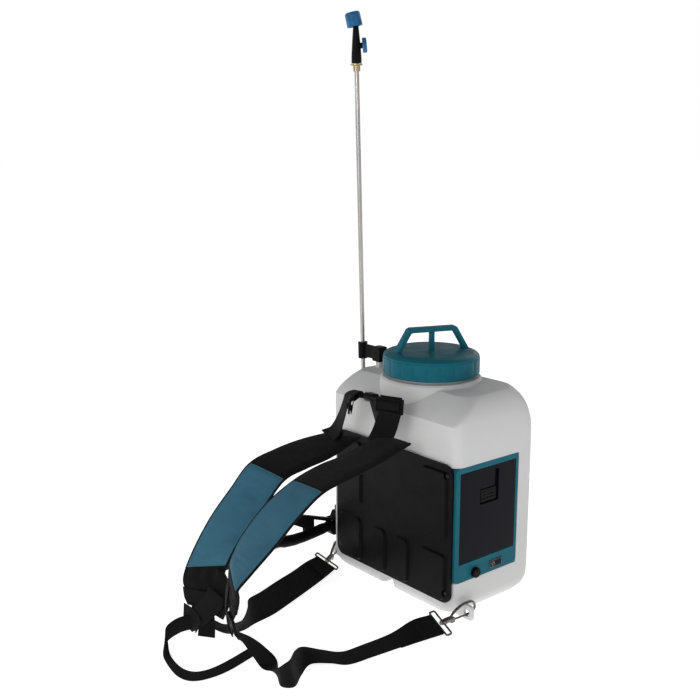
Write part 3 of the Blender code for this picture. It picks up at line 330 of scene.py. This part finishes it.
# Specular tints that dim the reflections of the dark plastics
TEAL_TINT, BLACK_TINT, SMOKED_TINT = (0.45, 0.45, 0.45, 1), (0.6, 0.6, 0.6, 1), (0.4, 0.4, 0.46, 1)
TEAL_SHADE, TEAL_WORN = (0.009, 0.118, 0.160), (0.014, 0.135, 0.178)
BLACK_SHADE, BLACK_WORN = (0.0034, 0.0034, 0.0037), (0.012, 0.012, 0.013)
SMOKED_SHADE = (0.0030, 0.0032, 0.0062)
PALE_THREAD = (0.013, 0.013, 0.014)
FAINT_GRAIN = 0.00001

WHITE = blow_moulded("white_tank")
TEAL = moulded("teal_plastic", TEAL_SHADE, 0.38, spread=0.06, worn=TEAL_WORN, Specular_Tint=TEAL_TINT)
BLACK = moulded("black_plastic", BLACK_SHADE, 0.40, worn=BLACK_WORN, Specular_Tint=BLACK_TINT)
GREY = moulded("grey_plastic", (0.10, 0.10, 0.11), 0.4)
RED = moulded("red_plastic", (0.30, 0.010, 0.012), 0.35)
BLUE = moulded("blue_plastic", (0.010, 0.085, 0.215), 0.33, worn=(0.10, 0.30, 0.55))
RUBBER = moulded("rubber", (0.006, 0.006, 0.006), 0.55, size=700)
CIRCUIT = moulded("circuit", (0.01, 0.10, 0.03), 0.3)
SMOKED = moulded("smoked_plastic", SMOKED_SHADE, 0.16, FAINT_GRAIN, spread=0.2, Specular_Tint=SMOKED_TINT)
INK = moulded("pale_ink", (0.55, 0.55, 0.55), 0.5, FAINT_GRAIN)
STEEL = metal("steel", (0.42, 0.40, 0.38), 0.22, 900, (1, 1, 0.02))
NICKEL = metal("nickel", (0.20, 0.175, 0.165), 0.2)
DARK_STEEL = metal("dark_steel", (0.03, 0.03, 0.032), 0.35)
BRASS = metal("brass", (0.42, 0.34, 0.20), 0.28, 400)
WEBBING = woven("webbing", (0.0042, 0.0042, 0.0046), PALE_THREAD, 0.0011, 0.00022, 0.72, ribs=5)
TEAL_CLOTH = woven("pad_cloth_teal", (0.042, 0.150, 0.225), (0.085, 0.235, 0.325), 0.0010, 0.00018, 0.62)
BLACK_CLOTH = woven("pad_cloth_black", (0.0048, 0.0048, 0.0052), (0.014, 0.014, 0.015), 0.0016, 0.0003)
BINDING = woven("pad_binding", (0.0045, 0.0045, 0.005), PALE_THREAD, 0.0009, 0.0002)
PIPING = woven("pad_piping_teal", (0.055, 0.19, 0.235), (0.09, 0.26, 0.31), 0.0009, 0.0002, 0.65)
HOSE_LOOK = hose_rubber("hose_rubber")


# ---------------------------------------------------------------- CAD nodes

SLOT_LOOKS = {
    "white_tank": WHITE,
    "teal_plastic": TEAL,
    "black_plastic": BLACK,
    "smoked_plastic": SMOKED,
    "grey_plastic": GREY,
    "red_plastic": RED,
    "blue_plastic": BLUE,
    "rubber": RUBBER,
    "steel": STEEL,
    "nickel": NICKEL,
    "brass": BRASS,
    "webbing": WEBBING,
    "pad_fabric": BLACK_CLOTH,
    "circuit": CIRCUIT,
}
NODE_LOOKS = {f"plate_screw_{k}": DARK_STEEL for k in range(1, 5)} | {"door_latch": BLACK}
# The rounding of the nodes' edges, in metres, and its steps
EDGE_ROUND = {"tank_shell": 0.0030, "back_plate": 0.0035, "unit_housing": 0.0016, "tank_cap": 0.0014}
EDGE_STEPS = {"tank_shell": 4, "back_plate": 4}
SMALL_ROUND, FEW_STEPS = 0.0004, 2
SHARP_ANGLE = math.radians(38)
SAME_PLACE = 1e-5


def dress(node, word, slot):
    """Gives a CAD node its material, rounded edges and clean shading."""
    node.data.materials.clear()
    node.data.materials.append(NODE_LOOKS.get(word, SLOT_LOOKS[slot]))
    node.data.shade_smooth()
    weld = node.modifiers.new("weld", "WELD")
    weld.merge_threshold = SAME_PLACE
    bevel = node.modifiers.new("soft_edges", "BEVEL")
    bevel.width = EDGE_ROUND.get(word, SMALL_ROUND)
    bevel.segments = EDGE_STEPS.get(word, FEW_STEPS)
    bevel.limit_method = "ANGLE"
    bevel.angle_limit = SHARP_ANGLE
    bevel.harden_normals = True
    weighted = node.modifiers.new("flat_faces", "WEIGHTED_NORMAL")
    weighted.weight = 100
    weighted.keep_sharp = True


for entry in frame["record"]["subparts"]:
    dress(nodes[entry["node"]], entry["node"], entry["material_slot"])


# ---------------------------------------------------------------- hose

HOSE_ROUTE = (
    (-0.2045, -0.045, 0.042),
    (-0.220, -0.0445, 0.0415),
    (-0.243, -0.036, 0.038),
    (-0.260, -0.013, 0.028),
    (-0.266, 0.022, 0.015),
    (-0.264, 0.065, 0.0065),
    (-0.252, 0.107, 0.0052),
    (-0.233, 0.138, 0.0052),
    (-0.216, 0.169, 0.0052),
    (-0.214, 0.201, 0.0052),
    (-0.236, 0.225, 0.0052),
    (-0.270, 0.228, 0.0052),
    (-0.302, 0.210, 0.0052),
    (-0.322, 0.175, 0.0052),
    (-0.331, 0.128, 0.0052),
    (-0.334, 0.070, 0.0052),
    (-0.332, 0.000, 0.0052),
    (-0.328, -0.070, 0.0052),
    (-0.322, -0.140, 0.0055),
    (-0.315, -0.200, 0.0060),
    (-0.308, -0.262, 0.0075),
    (-0.301, -0.322, 0.010),
    (-0.278, -0.366, 0.019),
    (-0.243, -0.377, 0.032),
    (-0.216, -0.354, 0.047),
    (-0.2070, -0.318, 0.0615),
    (-0.2052, -0.2810, 0.0706),
)
HOSE_RADIUS = 0.0045
HOSE_POINTS = 260


def hose():
    """The spray hose, from its nut low on the tank to the sleeve in the end of the grip."""
    points = smooth_path(HOSE_ROUTE, HOSE_POINTS)
    curve = bpy.data.curves.new("hose", "CURVE")
    curve.dimensions = "3D"
    spline = curve.splines.new("POLY")
    spline.points.add(len(points) - 1)
    for knot, point in zip(spline.points, points):
        knot.co = (*point, 1)
    curve.bevel_depth = HOSE_RADIUS
    curve.bevel_resolution = 4
    curve.use_fill_caps = True
    curve.materials.append(HOSE_LOOK)
    made = add_object("hose", curve)
    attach(made, ROOT)
    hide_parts("spray_hose")


hose()


# ---------------------------------------------------------------- pads

WIDE = 0.083
# Stations along each pad: its middle, the way across and the width
PAD_RIGHT = (
    ((0.070, -0.160, 0.350), (1, -0.02, 0.02), WIDE),
    ((0.070, -0.240, 0.328), (1, 0.08, 0.02), WIDE),
    ((0.070, -0.310, 0.317), (1, 0.05, -0.04), WIDE),
    ((0.070, -0.373, 0.302), (1, 0.04, 0.0), WIDE),
    ((0.070, -0.431, 0.270), (1, 0.14, -0.02), WIDE),
    ((0.070, -0.483, 0.227), (1, 0.08, 0.0), WIDE),
    ((0.070, -0.517, 0.196), (1, -0.26, -0.12), WIDE),
    ((0.070, -0.534, 0.1765), (1, -0.49, -0.26), WIDE * 0.97),
    ((0.072, -0.537, 0.155), (1, -0.40, -0.25), WIDE * 0.86),
    ((0.082, -0.545, 0.130), (1, -0.38, -0.30), WIDE * 0.52),
)
PAD_LEFT = (
    ((-0.080, -0.162, 0.324), (1, 0.10, 0.08), WIDE),
    ((-0.080, -0.237, 0.311), (1, 0.18, -0.22), WIDE),
    ((-0.080, -0.301, 0.302), (1, 0.19, -0.26), WIDE),
    ((-0.080, -0.357, 0.288), (1, 0.33, -0.24), WIDE),
    ((-0.080, -0.402, 0.247), (1, 0.36, -0.20), WIDE),
    ((-0.080, -0.449, 0.202), (1, 0.37, -0.10), WIDE),
    ((-0.080, -0.487, 0.152), (1, 0.50, 0.20), WIDE * 1.06),
    ((-0.080, -0.507, 0.110), (1, 0.55, 0.24), WIDE * 0.98),
    ((-0.078, -0.510, 0.078), (1, 0.50, 0.16), WIDE * 0.56),
)
# The first and last station of each teal panel
PANEL_RIGHT, PANEL_LEFT = (3.0, 7.0), (3.0, 6.4)
PAD_STEPS, PAD_COLUMNS = 150, 26
PAD_HALF, PAD_FILL = 0.0048, 0.45
# Parts of PAD_HALF: the cloth's height at a pad's edges, the crown over that, and the dips at its sewn lines
EDGE_HEIGHT, CROWN, STITCH_DIP, SEAM_DIP = 0.26, 0.74, 0.30, 0.35
STITCH_PLACE = 0.86  # parts of the half width
SEAM_SPREAD = 0.035  # in parts of the half width, or in stations
TAPER = 0.35  # in stations
THIN_END = 0.35  # parts of PAD_HALF
FOLD, CREASE, DEEP_FOLD = 0.0006, 0.0008, 0.0016
BINDING_RADIUS, PIPING_RADIUS = 0.0024, 0.0011
PIPING_POINTS = 25


def edge_pairs(stations):
    """The two edge points of a pad at each of its stations."""
    pairs = []
    for middle, across, width in stations:
        half = Vector(across).normalized() * width / 2
        pairs.append((Vector(middle) - half, Vector(middle) + half))
    return pairs


def bell(offset):
    """1 on a sewn line, falling to 0 beside it."""
    return math.exp(-((offset / SEAM_SPREAD) ** 2))


def cloth_height(reach, seam):
    """The height of a pad's cloth, so far out from its middle and so near a seam across it."""
    crown = max(1 - reach**4, 0) ** 0.5
    return EDGE_HEIGHT + CROWN * crown - STITCH_DIP * bell(reach - STITCH_PLACE) - SEAM_DIP * seam


def slack(spot, u, at, side, past_panel):
    """How far the cloth stands off its foam: folds and creases, and deeper folds past the teal panel."""
    fold = noise.noise(Vector((spot.x * 22, spot.y * 14, spot.z * 14)) + Vector((0, 0, 7.3 * side)))
    crease = noise.noise(Vector((u * 1.3, at * 5.5, 3.1 + side)))
    loose = FOLD * fold + CREASE * crease * (1 - abs(u) ** 6)
    if past_panel:
        loose += DEEP_FOLD * noise.noise(Vector((u * 3.4, at * 1.2, 9.7 + side)))
    return loose


def pad_mesh(name, line, last, start, stop):
    """A pad along a line from station 0 to the last one, with its teal panel from start to stop."""
    ratio = last / (PAD_STEPS - 1)
    loops = []
    for k, (middle, across, up) in enumerate(line):
        at = k * ratio
        end = max(min(1.0, min(at, last - at) / TAPER), 0.0)
        swell = PAD_HALF * (THIN_END + (1 - THIN_END) * math.sqrt(end))
        seam = bell(at - start) + bell(at - stop)
        ring = []
        for side in (1, -1):
            for c in range(PAD_COLUMNS):
                u = (1 - 2 * c / (PAD_COLUMNS - 1)) * side
                spot = middle + across * u
                height = swell * cloth_height(abs(u), seam if side == 1 else 0)
                ring.append(spot + up * side * (height + slack(spot, u, at, side, at > stop) * end))
        loops.append(ring)

    def pick(i, k):
        on_top = k < PAD_COLUMNS - 1
        return 1 if on_top and start < (i + 0.5) * ratio < stop else 0

    return sweep(name, loops, pick)


def pad(name, node, stations, panel):
    """A shoulder pad: foam between two cloths, bound at its edges, with piping at both ends of its panel."""
    line = frames(edge_pairs(stations), PAD_STEPS)
    last = len(stations) - 1
    mesh = pad_mesh(name, line, last, *panel)
    made = piece(name, mesh, [BLACK_CLOTH, TEAL_CLOTH], replaced=[node])
    for word, side in (("inner", -1), ("outer", 1)):
        edge = [middle + across * side for middle, across, _ in line]
        tube(f"{name}_binding_{word}", edge, BINDING_RADIUS, BINDING, 8)
    for word, place in zip(("top", "bottom"), panel):
        middle, across, up = line[round(place * (PAD_STEPS - 1) / last)]
        points = []
        for c in range(PIPING_POINTS):
            u = (2 * c / (PIPING_POINTS - 1) - 1) * 0.96
            rise = PAD_HALF * 0.94 * (0.20 + CROWN * math.sqrt(1 - abs(u) ** 4)) - 0.0008
            points.append(middle + across * u + up * rise)
        tube(f"{name}_piping_{word}", points, PIPING_RADIUS, PIPING, 6)


pad("shoulder_pad_right", "pad_right", PAD_RIGHT, PANEL_RIGHT)
pad("shoulder_pad_left", "pad_left", PAD_LEFT, PANEL_LEFT)


# ---------------------------------------------------------------- straps

WEBBING_THICK, ROD_WEBBING_THICK, CLOTH_THICK = 0.0017, 0.0015, 0.003
BAND_COLUMNS = (-0.94, -0.6, -0.2, 0.2, 0.6, 0.94)  # parts of the half width


def band(name, pairs, count, look=WEBBING, thick=WEBBING_THICK, lift=0.0, narrow=1.0, replaced=()):
    """A strip of webbing or cloth between pairs of edge points, with rounded selvedges."""
    half = thick / 2
    loops = []
    for middle, across, up in frames(pairs, count):
        across = across * narrow
        centre = middle + up * lift
        low, high = centre - across, centre + across
        inward, rise = across.normalized() * half * 0.4, up * half * 0.8
        columns = [centre + across * s for s in BAND_COLUMNS]
        loops.append(
            [low, low + inward + rise]
            + [c + up * half for c in columns]
            + [high - inward + rise, high, high - inward - rise]
            + [c - up * half for c in reversed(columns)]
            + [low + inward - rise]
        )
    return piece(name, sweep(name, loops), [look], replaced=replaced)


# Pairs of edge points along each strap
UPPER_RIGHT = (
    ((0.0345, -0.1715, 0.4030), (0.0790, -0.1550, 0.3990)),
    ((0.0300, -0.1735, 0.3900), (0.0750, -0.1560, 0.3850)),
    ((0.0240, -0.1770, 0.3680), (0.0700, -0.1590, 0.3640)),
    ((0.0180, -0.1820, 0.3500), (0.0660, -0.1640, 0.3480)),
    ((0.0160, -0.1880, 0.3420), (0.0640, -0.1700, 0.3400)),
)
UPPER_LEFT = (
    ((-0.068, -0.1700, 0.379), (-0.041, -0.1960, 0.375)),
    ((-0.074, -0.1740, 0.364), (-0.046, -0.1980, 0.355)),
    ((-0.086, -0.1780, 0.350), (-0.048, -0.1940, 0.338)),
    ((-0.096, -0.1900, 0.3420), (-0.050, -0.2000, 0.3270)),
    ((-0.100, -0.2080, 0.3385), (-0.053, -0.2140, 0.3240)),
)
LOWER_RIGHT = (
    ((0.082, -0.5490, 0.0880), (0.118, -0.5600, 0.0880)),
    ((0.0940, -0.5180, 0.0680), (0.1140, -0.5490, 0.0780)),
    ((0.1130, -0.5000, 0.0490), (0.1335, -0.5430, 0.0600)),
    ((0.1235, -0.4850, 0.0255), (0.1440, -0.5300, 0.0350)),
    ((0.1420, -0.4960, 0.0060), (0.1620, -0.5200, 0.0360)),
    ((0.1660, -0.5060, 0.0018), (0.1740, -0.5040, 0.0480)),
    ((0.181, -0.4900, 0.0018), (0.170, -0.4900, 0.0490)),
    ((0.164, -0.4630, 0.0050), (0.138, -0.4560, 0.0400)),
    ((0.151, -0.4320, 0.0100), (0.113, -0.4200, 0.0240)),
    ((0.164, -0.3990, 0.0060), (0.120, -0.3830, 0.0080)),
    ((0.184, -0.3720, 0.0025), (0.141, -0.3540, 0.0028)),
    ((0.191, -0.3220, 0.0025), (0.146, -0.3100, 0.0028)),
    ((0.198, -0.2590, 0.0025), (0.152, -0.2440, 0.0060)),
    ((0.207, -0.2130, 0.0035), (0.166, -0.2020, 0.0250)),
    ((0.219, -0.1700, 0.0070), (0.179, -0.1690, 0.0300)),
)
LOWER_LEFT = (
    ((-0.094, -0.5160, 0.0340), (-0.058, -0.4980, 0.0340)),
    ((-0.074, -0.5020, 0.0180), (-0.036, -0.4860, 0.0300)),
    ((-0.045, -0.4800, 0.0060), (-0.018, -0.4600, 0.0380)),
    ((-0.038, -0.4480, 0.0040), (-0.034, -0.4380, 0.0500)),
    ((-0.048, -0.4120, 0.0030), (-0.066, -0.4140, 0.0480)),
    ((-0.056, -0.3640, 0.0030), (-0.087, -0.3720, 0.0420)),
    ((-0.076, -0.3060, 0.0030), (-0.112, -0.3180, 0.0380)),
    ((-0.098, -0.2460, 0.0030), (-0.134, -0.2590, 0.0360)),
    ((-0.118, -0.1920, 0.0040), (-0.157, -0.2070, 0.0340)),
    ((-0.136, -0.1470, 0.0055), (-0.172, -0.1670, 0.0300)),
)
TAIL = (
    ((-0.084, -0.5300, 0.0160), (-0.082, -0.5320, 0.0480)),
    ((-0.086, -0.5560, 0.0160), (-0.088, -0.5600, 0.0460)),
    ((-0.079, -0.5870, 0.0110), (-0.086, -0.5840, 0.0360)),
    ((-0.057, -0.6080, 0.0040), (-0.073, -0.5880, 0.0160)),
    ((-0.022, -0.6190, 0.0025), (-0.045, -0.5990, 0.0030)),
    ((0.022, -0.6250, 0.0020), (0.000, -0.6050, 0.0020)),
    ((0.051, -0.6160, 0.0020), (0.027, -0.5970, 0.0020)),
    ((0.064, -0.5900, 0.0020), (0.038, -0.5750, 0.0020)),
    ((0.065, -0.5480, 0.0020), (0.036, -0.5370, 0.0020)),
    ((0.050, -0.4810, 0.0020), (0.021, -0.4710, 0.0020)),
)

band("webbing_upper_right", UPPER_RIGHT, 60, replaced=["strap_upper_right"])
band("webbing_upper_left", UPPER_LEFT, 60, replaced=["strap_upper_left"])
band("webbing_lower_right", LOWER_RIGHT, 220, replaced=["strap_lower_right"])
band("webbing_lower_left", LOWER_LEFT, 180, replaced=["strap_lower_left"])
band("webbing_tail_left", TAIL, 180, replaced=["strap_tail_left"])


# ---------------------------------------------------------------- webbing in the sliders and on the rod

# Each slider: its middle, its turn about Z, and the half width of the webbing in it
SLIDERS = (
    ("right", Vector((0.051, -0.1600, 0.412)), math.radians(20), 0.0235),
    ("left", Vector((-0.053, -0.1720, 0.398)), math.radians(-42), 0.0210),
)
SLIDER_TILT = math.radians(-6)
# Y and Z in a slider's own axes: the way over its middle bar, and the layer behind that
OVER_BAR = (
    (0.0045, -0.0165),
    (0.0030, -0.0090),
    (-0.0030, -0.0060),
    (-0.0046, 0),
    (-0.0030, 0.0060),
    (0.0030, 0.0090),
    (0.0050, 0.0165),
)
BEHIND_BAR = ((0.0048, -0.0170), (0.0058, -0.0060), (0.0062, 0.0060), (0.0052, 0.0175))
ROD_Y, ROD_Z = -0.149, 0.412
ROD_LOOP_RADIUS = 0.0048


def slider_webbing(word, centre, yaw, half):
    """The webbing in a slider: in at the lower slot and out at the upper one, and a layer behind the bar."""
    turn = Matrix.Rotation(yaw, 3, "Z") @ Matrix.Rotation(SLIDER_TILT, 3, "X")
    for part, lane, count in (("slider", OVER_BAR, 40), ("behind", BEHIND_BAR, 24)):
        pairs = [[centre + turn @ Vector((x, y, z)) for x in (-half, half)] for y, z in lane]
        band(f"webbing_{part}_{word}", pairs, count)


def rod_loop(name, low, high, foot):
    """Webbing wrapped round the anchor rod from one X to another, and down to a last pair of points."""
    pairs = []
    for degrees in range(-90, 271, 30):
        angle = math.radians(degrees)
        y, z = ROD_Y + ROD_LOOP_RADIUS * math.sin(angle), ROD_Z + ROD_LOOP_RADIUS * math.cos(angle)
        pairs.append((Vector((low, y, z)), Vector((high, y, z))))
    band(name, [*pairs, foot], 60, thick=ROD_WEBBING_THICK)


for slider in SLIDERS:
    slider_webbing(*slider)
rod_loop("webbing_rod_right", 0.0375, 0.0625, ((0.036, -0.1560, 0.4005), (0.066, -0.1500, 0.4000)))
rod_loop("webbing_rod_left", -0.0605, -0.0385, ((-0.066, -0.1600, 0.4020), (-0.046, -0.1660, 0.4020)))


# ---------------------------------------------------------------- loose webbing and cloth

LOBE_LEFT = (
    ((-0.062, -0.1440, 0.406), (-0.040, -0.1440, 0.406)),
    ((-0.064, -0.1500, 0.4190), (-0.040, -0.1520, 0.4210)),
    ((-0.078, -0.1620, 0.4120), (-0.046, -0.1700, 0.4120)),
    ((-0.080, -0.1680, 0.3960), (-0.046, -0.1840, 0.3920)),
    ((-0.086, -0.1750, 0.3700), (-0.044, -0.1960, 0.3640)),
    ((-0.094, -0.1860, 0.3460), (-0.046, -0.2040, 0.3420)),
    ((-0.098, -0.2020, 0.3360), (-0.048, -0.2160, 0.3300)),
)
LOBE_RIGHT = (
    ((0.030, -0.1440, 0.405), (0.030, -0.1560, 0.418)),
    ((0.004, -0.1440, 0.4040), (0.004, -0.1600, 0.4200)),
    ((-0.020, -0.1460, 0.4050), (-0.018, -0.1620, 0.4180)),
)
TIP_LEFT = (
    ((-0.112, -0.531, 0.092), (-0.054, -0.507, 0.092)),
    ((-0.106, -0.532, 0.074), (-0.050, -0.508, 0.074)),
    ((-0.100, -0.529, 0.060), (-0.058, -0.508, 0.058)),
)
LOCK_FOLD = (
    ((-0.092, -0.541, 0.070), (-0.096, -0.541, 0.040)),
    ((-0.070, -0.531, 0.060), (-0.078, -0.531, 0.026)),
    ((-0.052, -0.528, 0.044), (-0.072, -0.530, 0.012)),
)
LOCK_CROSS = (
    ((-0.104, -0.535, 0.022), (-0.084, -0.530, 0.010)),
    ((-0.078, -0.532, 0.058), (-0.048, -0.524, 0.036)),
    ((-0.052, -0.520, 0.094), (-0.018, -0.508, 0.074)),
    ((-0.046, -0.514, 0.112), (-0.014, -0.503, 0.094)),
)
LOCK_TAB = (
    ((-0.072, -0.524, 0.052), (-0.038, -0.509, 0.052)),
    ((-0.064, -0.528, 0.034), (-0.032, -0.512, 0.034)),
    ((-0.055, -0.536, 0.016), (-0.024, -0.518, 0.018)),
)
GUSSET_RIGHT = (
    ((0.038, -0.522, 0.166), (0.066, -0.542, 0.156)),
    ((0.019, -0.518, 0.130), (0.064, -0.547, 0.120)),
    ((0.022, -0.522, 0.094), (0.070, -0.548, 0.088)),
    ((0.036, -0.526, 0.066), (0.086, -0.550, 0.076)),
)
GUSSET_LEFT = (
    ((-0.052, -0.492, 0.136), (-0.040, -0.484, 0.133)),
    ((-0.055, -0.497, 0.116), (-0.016, -0.486, 0.112)),
    ((-0.062, -0.504, 0.090), (-0.008, -0.494, 0.084)),
    ((-0.070, -0.514, 0.060), (-0.018, -0.503, 0.052)),
)
TIP_RIGHT = (
    ((0.056, -0.534, 0.140), (0.106, -0.556, 0.126)),
    ((0.064, -0.541, 0.118), (0.104, -0.562, 0.110)),
    ((0.074, -0.549, 0.098), (0.112, -0.566, 0.096)),
)

# The lobes of webbing at the rod's ends
band("webbing_lobe_left", LOBE_LEFT, 80)
band("webbing_lobe_right", LOBE_RIGHT, 30)
# The ends of the pads: webbing from each tip to its lock, webbing over the left lock, and cloth beside them
band("tip_webbing_left", TIP_LEFT, 24)
band("lock_fold_left", LOCK_FOLD, 40)
band("lock_cross_left", LOCK_CROSS, 40)
band("lock_tab_left", LOCK_TAB, 24)
band("tip_cloth_right", GUSSET_RIGHT, 40, BLACK_CLOTH, CLOTH_THICK)
band("tip_cloth_left", GUSSET_LEFT, 40, BLACK_CLOTH, CLOTH_THICK)
band("tip_webbing_right", TIP_RIGHT, 24)

# The hook ends of the lower straps, folded back over the loops and sewn down
FOLD_LIFT, FOLD_NARROW = 0.0021, 0.97
for word, strap in (("right", LOWER_RIGHT), ("left", LOWER_LEFT)):
    back = strap[:-4:-1]
    band(f"hook_fold_{word}", back, 40, lift=FOLD_LIFT, narrow=FOLD_NARROW)
    band(f"hook_fold_under_{word}", back[:2], 20, lift=-FOLD_LIFT, narrow=FOLD_NARROW)


# ---------------------------------------------------------------- cap

CAP_PANELS, CAP_RADIUS = 22, 0.0980
PANEL_LOW, PANEL_HIGH, PANEL_PROUD = 0.4478, 0.4828, 0.0010
PANEL_DEPTH, PANEL_SIDE = 0.002, 0.0010
PANEL_SHARE = 0.955  # of the way round, which leaves the rest to the grooves
PANEL_STEPS = 6


def ring_point(radius, angle, z):
    """A point round the cap's axis."""
    return (radius * math.cos(angle), radius * math.sin(angle), z)


def cap_grip():
    """Raised panels round the cap's skirt, with thin grooves between them."""
    levels = (
        (PANEL_LOW, -0.0006),
        (PANEL_LOW + 0.0012, PANEL_PROUD),
        (PANEL_HIGH - 0.0035, PANEL_PROUD),
        (PANEL_HIGH, -0.0012),
    )
    span = 2 * math.pi / CAP_PANELS * PANEL_SHARE
    shape = bmesh.new()
    for k in range(CAP_PANELS):
        start = 2 * math.pi * k / CAP_PANELS
        angles = [start + span * c / PANEL_STEPS for c in range(PANEL_STEPS + 1)]
        rings = []
        for z, out in levels:
            radii = [CAP_RADIUS + out] * len(angles)
            radii[0] = radii[-1] = CAP_RADIUS + out - PANEL_SIDE
            outer = [ring_point(radius, angle, z) for radius, angle in zip(radii, angles)]
            inner = [ring_point(CAP_RADIUS - PANEL_DEPTH, angle, z) for angle in reversed(angles)]
            rings.append([shape.verts.new(p) for p in outer + inner])
        size = len(rings[0])
        for a, b in zip(rings, rings[1:]):
            for c in range(size):
                shape.faces.new((a[c], a[(c + 1) % size], b[(c + 1) % size], b[c]))
        shape.faces.new(rings[0])
        shape.faces.new(list(reversed(rings[-1])))
    bmesh.ops.recalc_face_normals(shape, faces=shape.faces)
    mesh = bpy.data.meshes.new("cap_grip")
    shape.to_mesh(mesh)
    shape.free()
    mesh.shade_smooth()
    mesh.set_sharp_from_angle(angle=math.radians(30))
    piece("cap_grip", mesh, [TEAL], body="cap")


cap_grip()


# ---------------------------------------------------------------- label

LABEL_INSET, LABEL_PROUD = 0.0012, 0.00005
THIN_LINE, THICK_LINE = 0.00022, 0.00035
ARC_POINTS = 25


def label_mark():
    """A generic power sign and a thin outline on the label, in pale ink."""
    label = nodes["power_label"]
    corners = [label.matrix_world @ Vector(c) for c in label.bound_box]
    low = Vector(min(c[k] for c in corners) for k in range(3))
    high = Vector(max(c[k] for c in corners) for k in range(3))
    x = high.x + LABEL_PROUD
    y0, y1 = low.y + LABEL_INSET, high.y - LABEL_INSET
    z0, z1 = low.z + LABEL_INSET, high.z - LABEL_INSET
    outline = ((x, y0, z0), (x, y1, z0), (x, y1, z1), (x, y0, z1))
    for k in range(4):
        ends = [outline[k], outline[(k + 1) % 4]]
        tube(f"label_outline_{k + 1}", ends, THIN_LINE, INK, 6)
    size = (high.z - low.z) * 0.24
    middle = Vector((x, low.y + (high.y - low.y) * 0.30, (low.z + high.z) / 2))
    arc = []
    for k in range(ARC_POINTS):
        angle = math.radians(40 + 280 * k / (ARC_POINTS - 1))
        arc.append(middle + Vector((0, math.sin(angle), math.cos(angle))) * size)
    tube("label_power_ring", arc, THICK_LINE, INK, 6)
    bar = [middle, middle + Vector((0, 0, size * 1.1))]
    tube("label_power_bar", bar, THICK_LINE, INK, 6)


label_mark()


# ---------------------------------------------------------------- studio

FILL_LIGHT, FILL_OVERHEAD = 0.44, 0.12  # the strength from the sides and from above
FLOOR_REACH, FLOOR_GLOW = 30, 0.80
LAMP_AIM = Vector((0, -0.1, 0.3))
# Each lamp: its place, size and power
LAMPS = (
    ("key", (0.9, -2.8, 1.3), 1.3, 22),
    ("side", (2.6, 0.2, 1.6), 1.1, 6),
    ("left", (-2.2, -1.2, 1.5), 1.2, 9),
    ("back", (-0.8, 2.4, 1.6), 1.6, 10),
)


def white_world():
    """A white backdrop, which gives less light from above than from the sides."""
    world = bpy.data.worlds.new("studio")
    world.use_nodes = True
    tree = world.node_tree
    link = tree.links.new
    sky, fill = tree.nodes["Background"], tree.nodes.new("ShaderNodeBackground")
    sky.inputs["Color"].default_value = fill.inputs["Color"].default_value = (1, 1, 1, 1)
    sky.inputs["Strength"].default_value = 1.0
    direction, axes = tree.nodes.new("ShaderNodeTexCoord"), tree.nodes.new("ShaderNodeSeparateXYZ")
    height = tree.nodes.new("ShaderNodeMapRange")
    height.inputs["To Min"].default_value = FILL_LIGHT
    height.inputs["To Max"].default_value = FILL_OVERHEAD
    link(direction.outputs["Generated"], axes.inputs["Vector"])
    link(axes.outputs["Z"], height.inputs["Value"])
    link(height.outputs["Result"], fill.inputs["Strength"])
    path, mix = tree.nodes.new("ShaderNodeLightPath"), tree.nodes.new("ShaderNodeMixShader")
    link(path.outputs["Is Camera Ray"], mix.inputs["Fac"])
    link(fill.outputs["Background"], mix.inputs[1])
    link(sky.outputs["Background"], mix.inputs[2])
    link(mix.outputs["Shader"], tree.nodes["World Output"].inputs["Surface"])
    bpy.context.scene.world = world


def white_floor():
    """A wide floor, which glows enough to stay white round the object's shadow."""
    look = Look("floor", (0.93, 0.93, 0.93), 0.9, Emission_Color=(1, 1, 1, 1), Emission_Strength=FLOOR_GLOW)
    look.rough(look.noise(8, 2), 0.85, 0.95)
    corners = [(x * FLOOR_REACH, y * FLOOR_REACH, 0) for x, y in ((-1, -1), (1, -1), (1, 1), (-1, 1))]
    mesh = bpy.data.meshes.new("floor")
    mesh.from_pydata(corners, [], [(0, 1, 2, 3)])
    mesh.materials.append(look.material)
    add_object("floor", mesh)


def lamp(name, place, size, power):
    """A square lamp, aimed at the object."""
    light = bpy.data.lights.new(name, "AREA")
    light.size = size
    light.energy = power
    made = add_object(name, light)
    made.location = place
    made.rotation_euler = (LAMP_AIM - Vector(place)).to_track_quat("-Z", "Y").to_euler()


bpy.context.scene.view_settings.view_transform = "Standard"
white_world()
white_floor()
for row in LAMPS:
    lamp(*row)
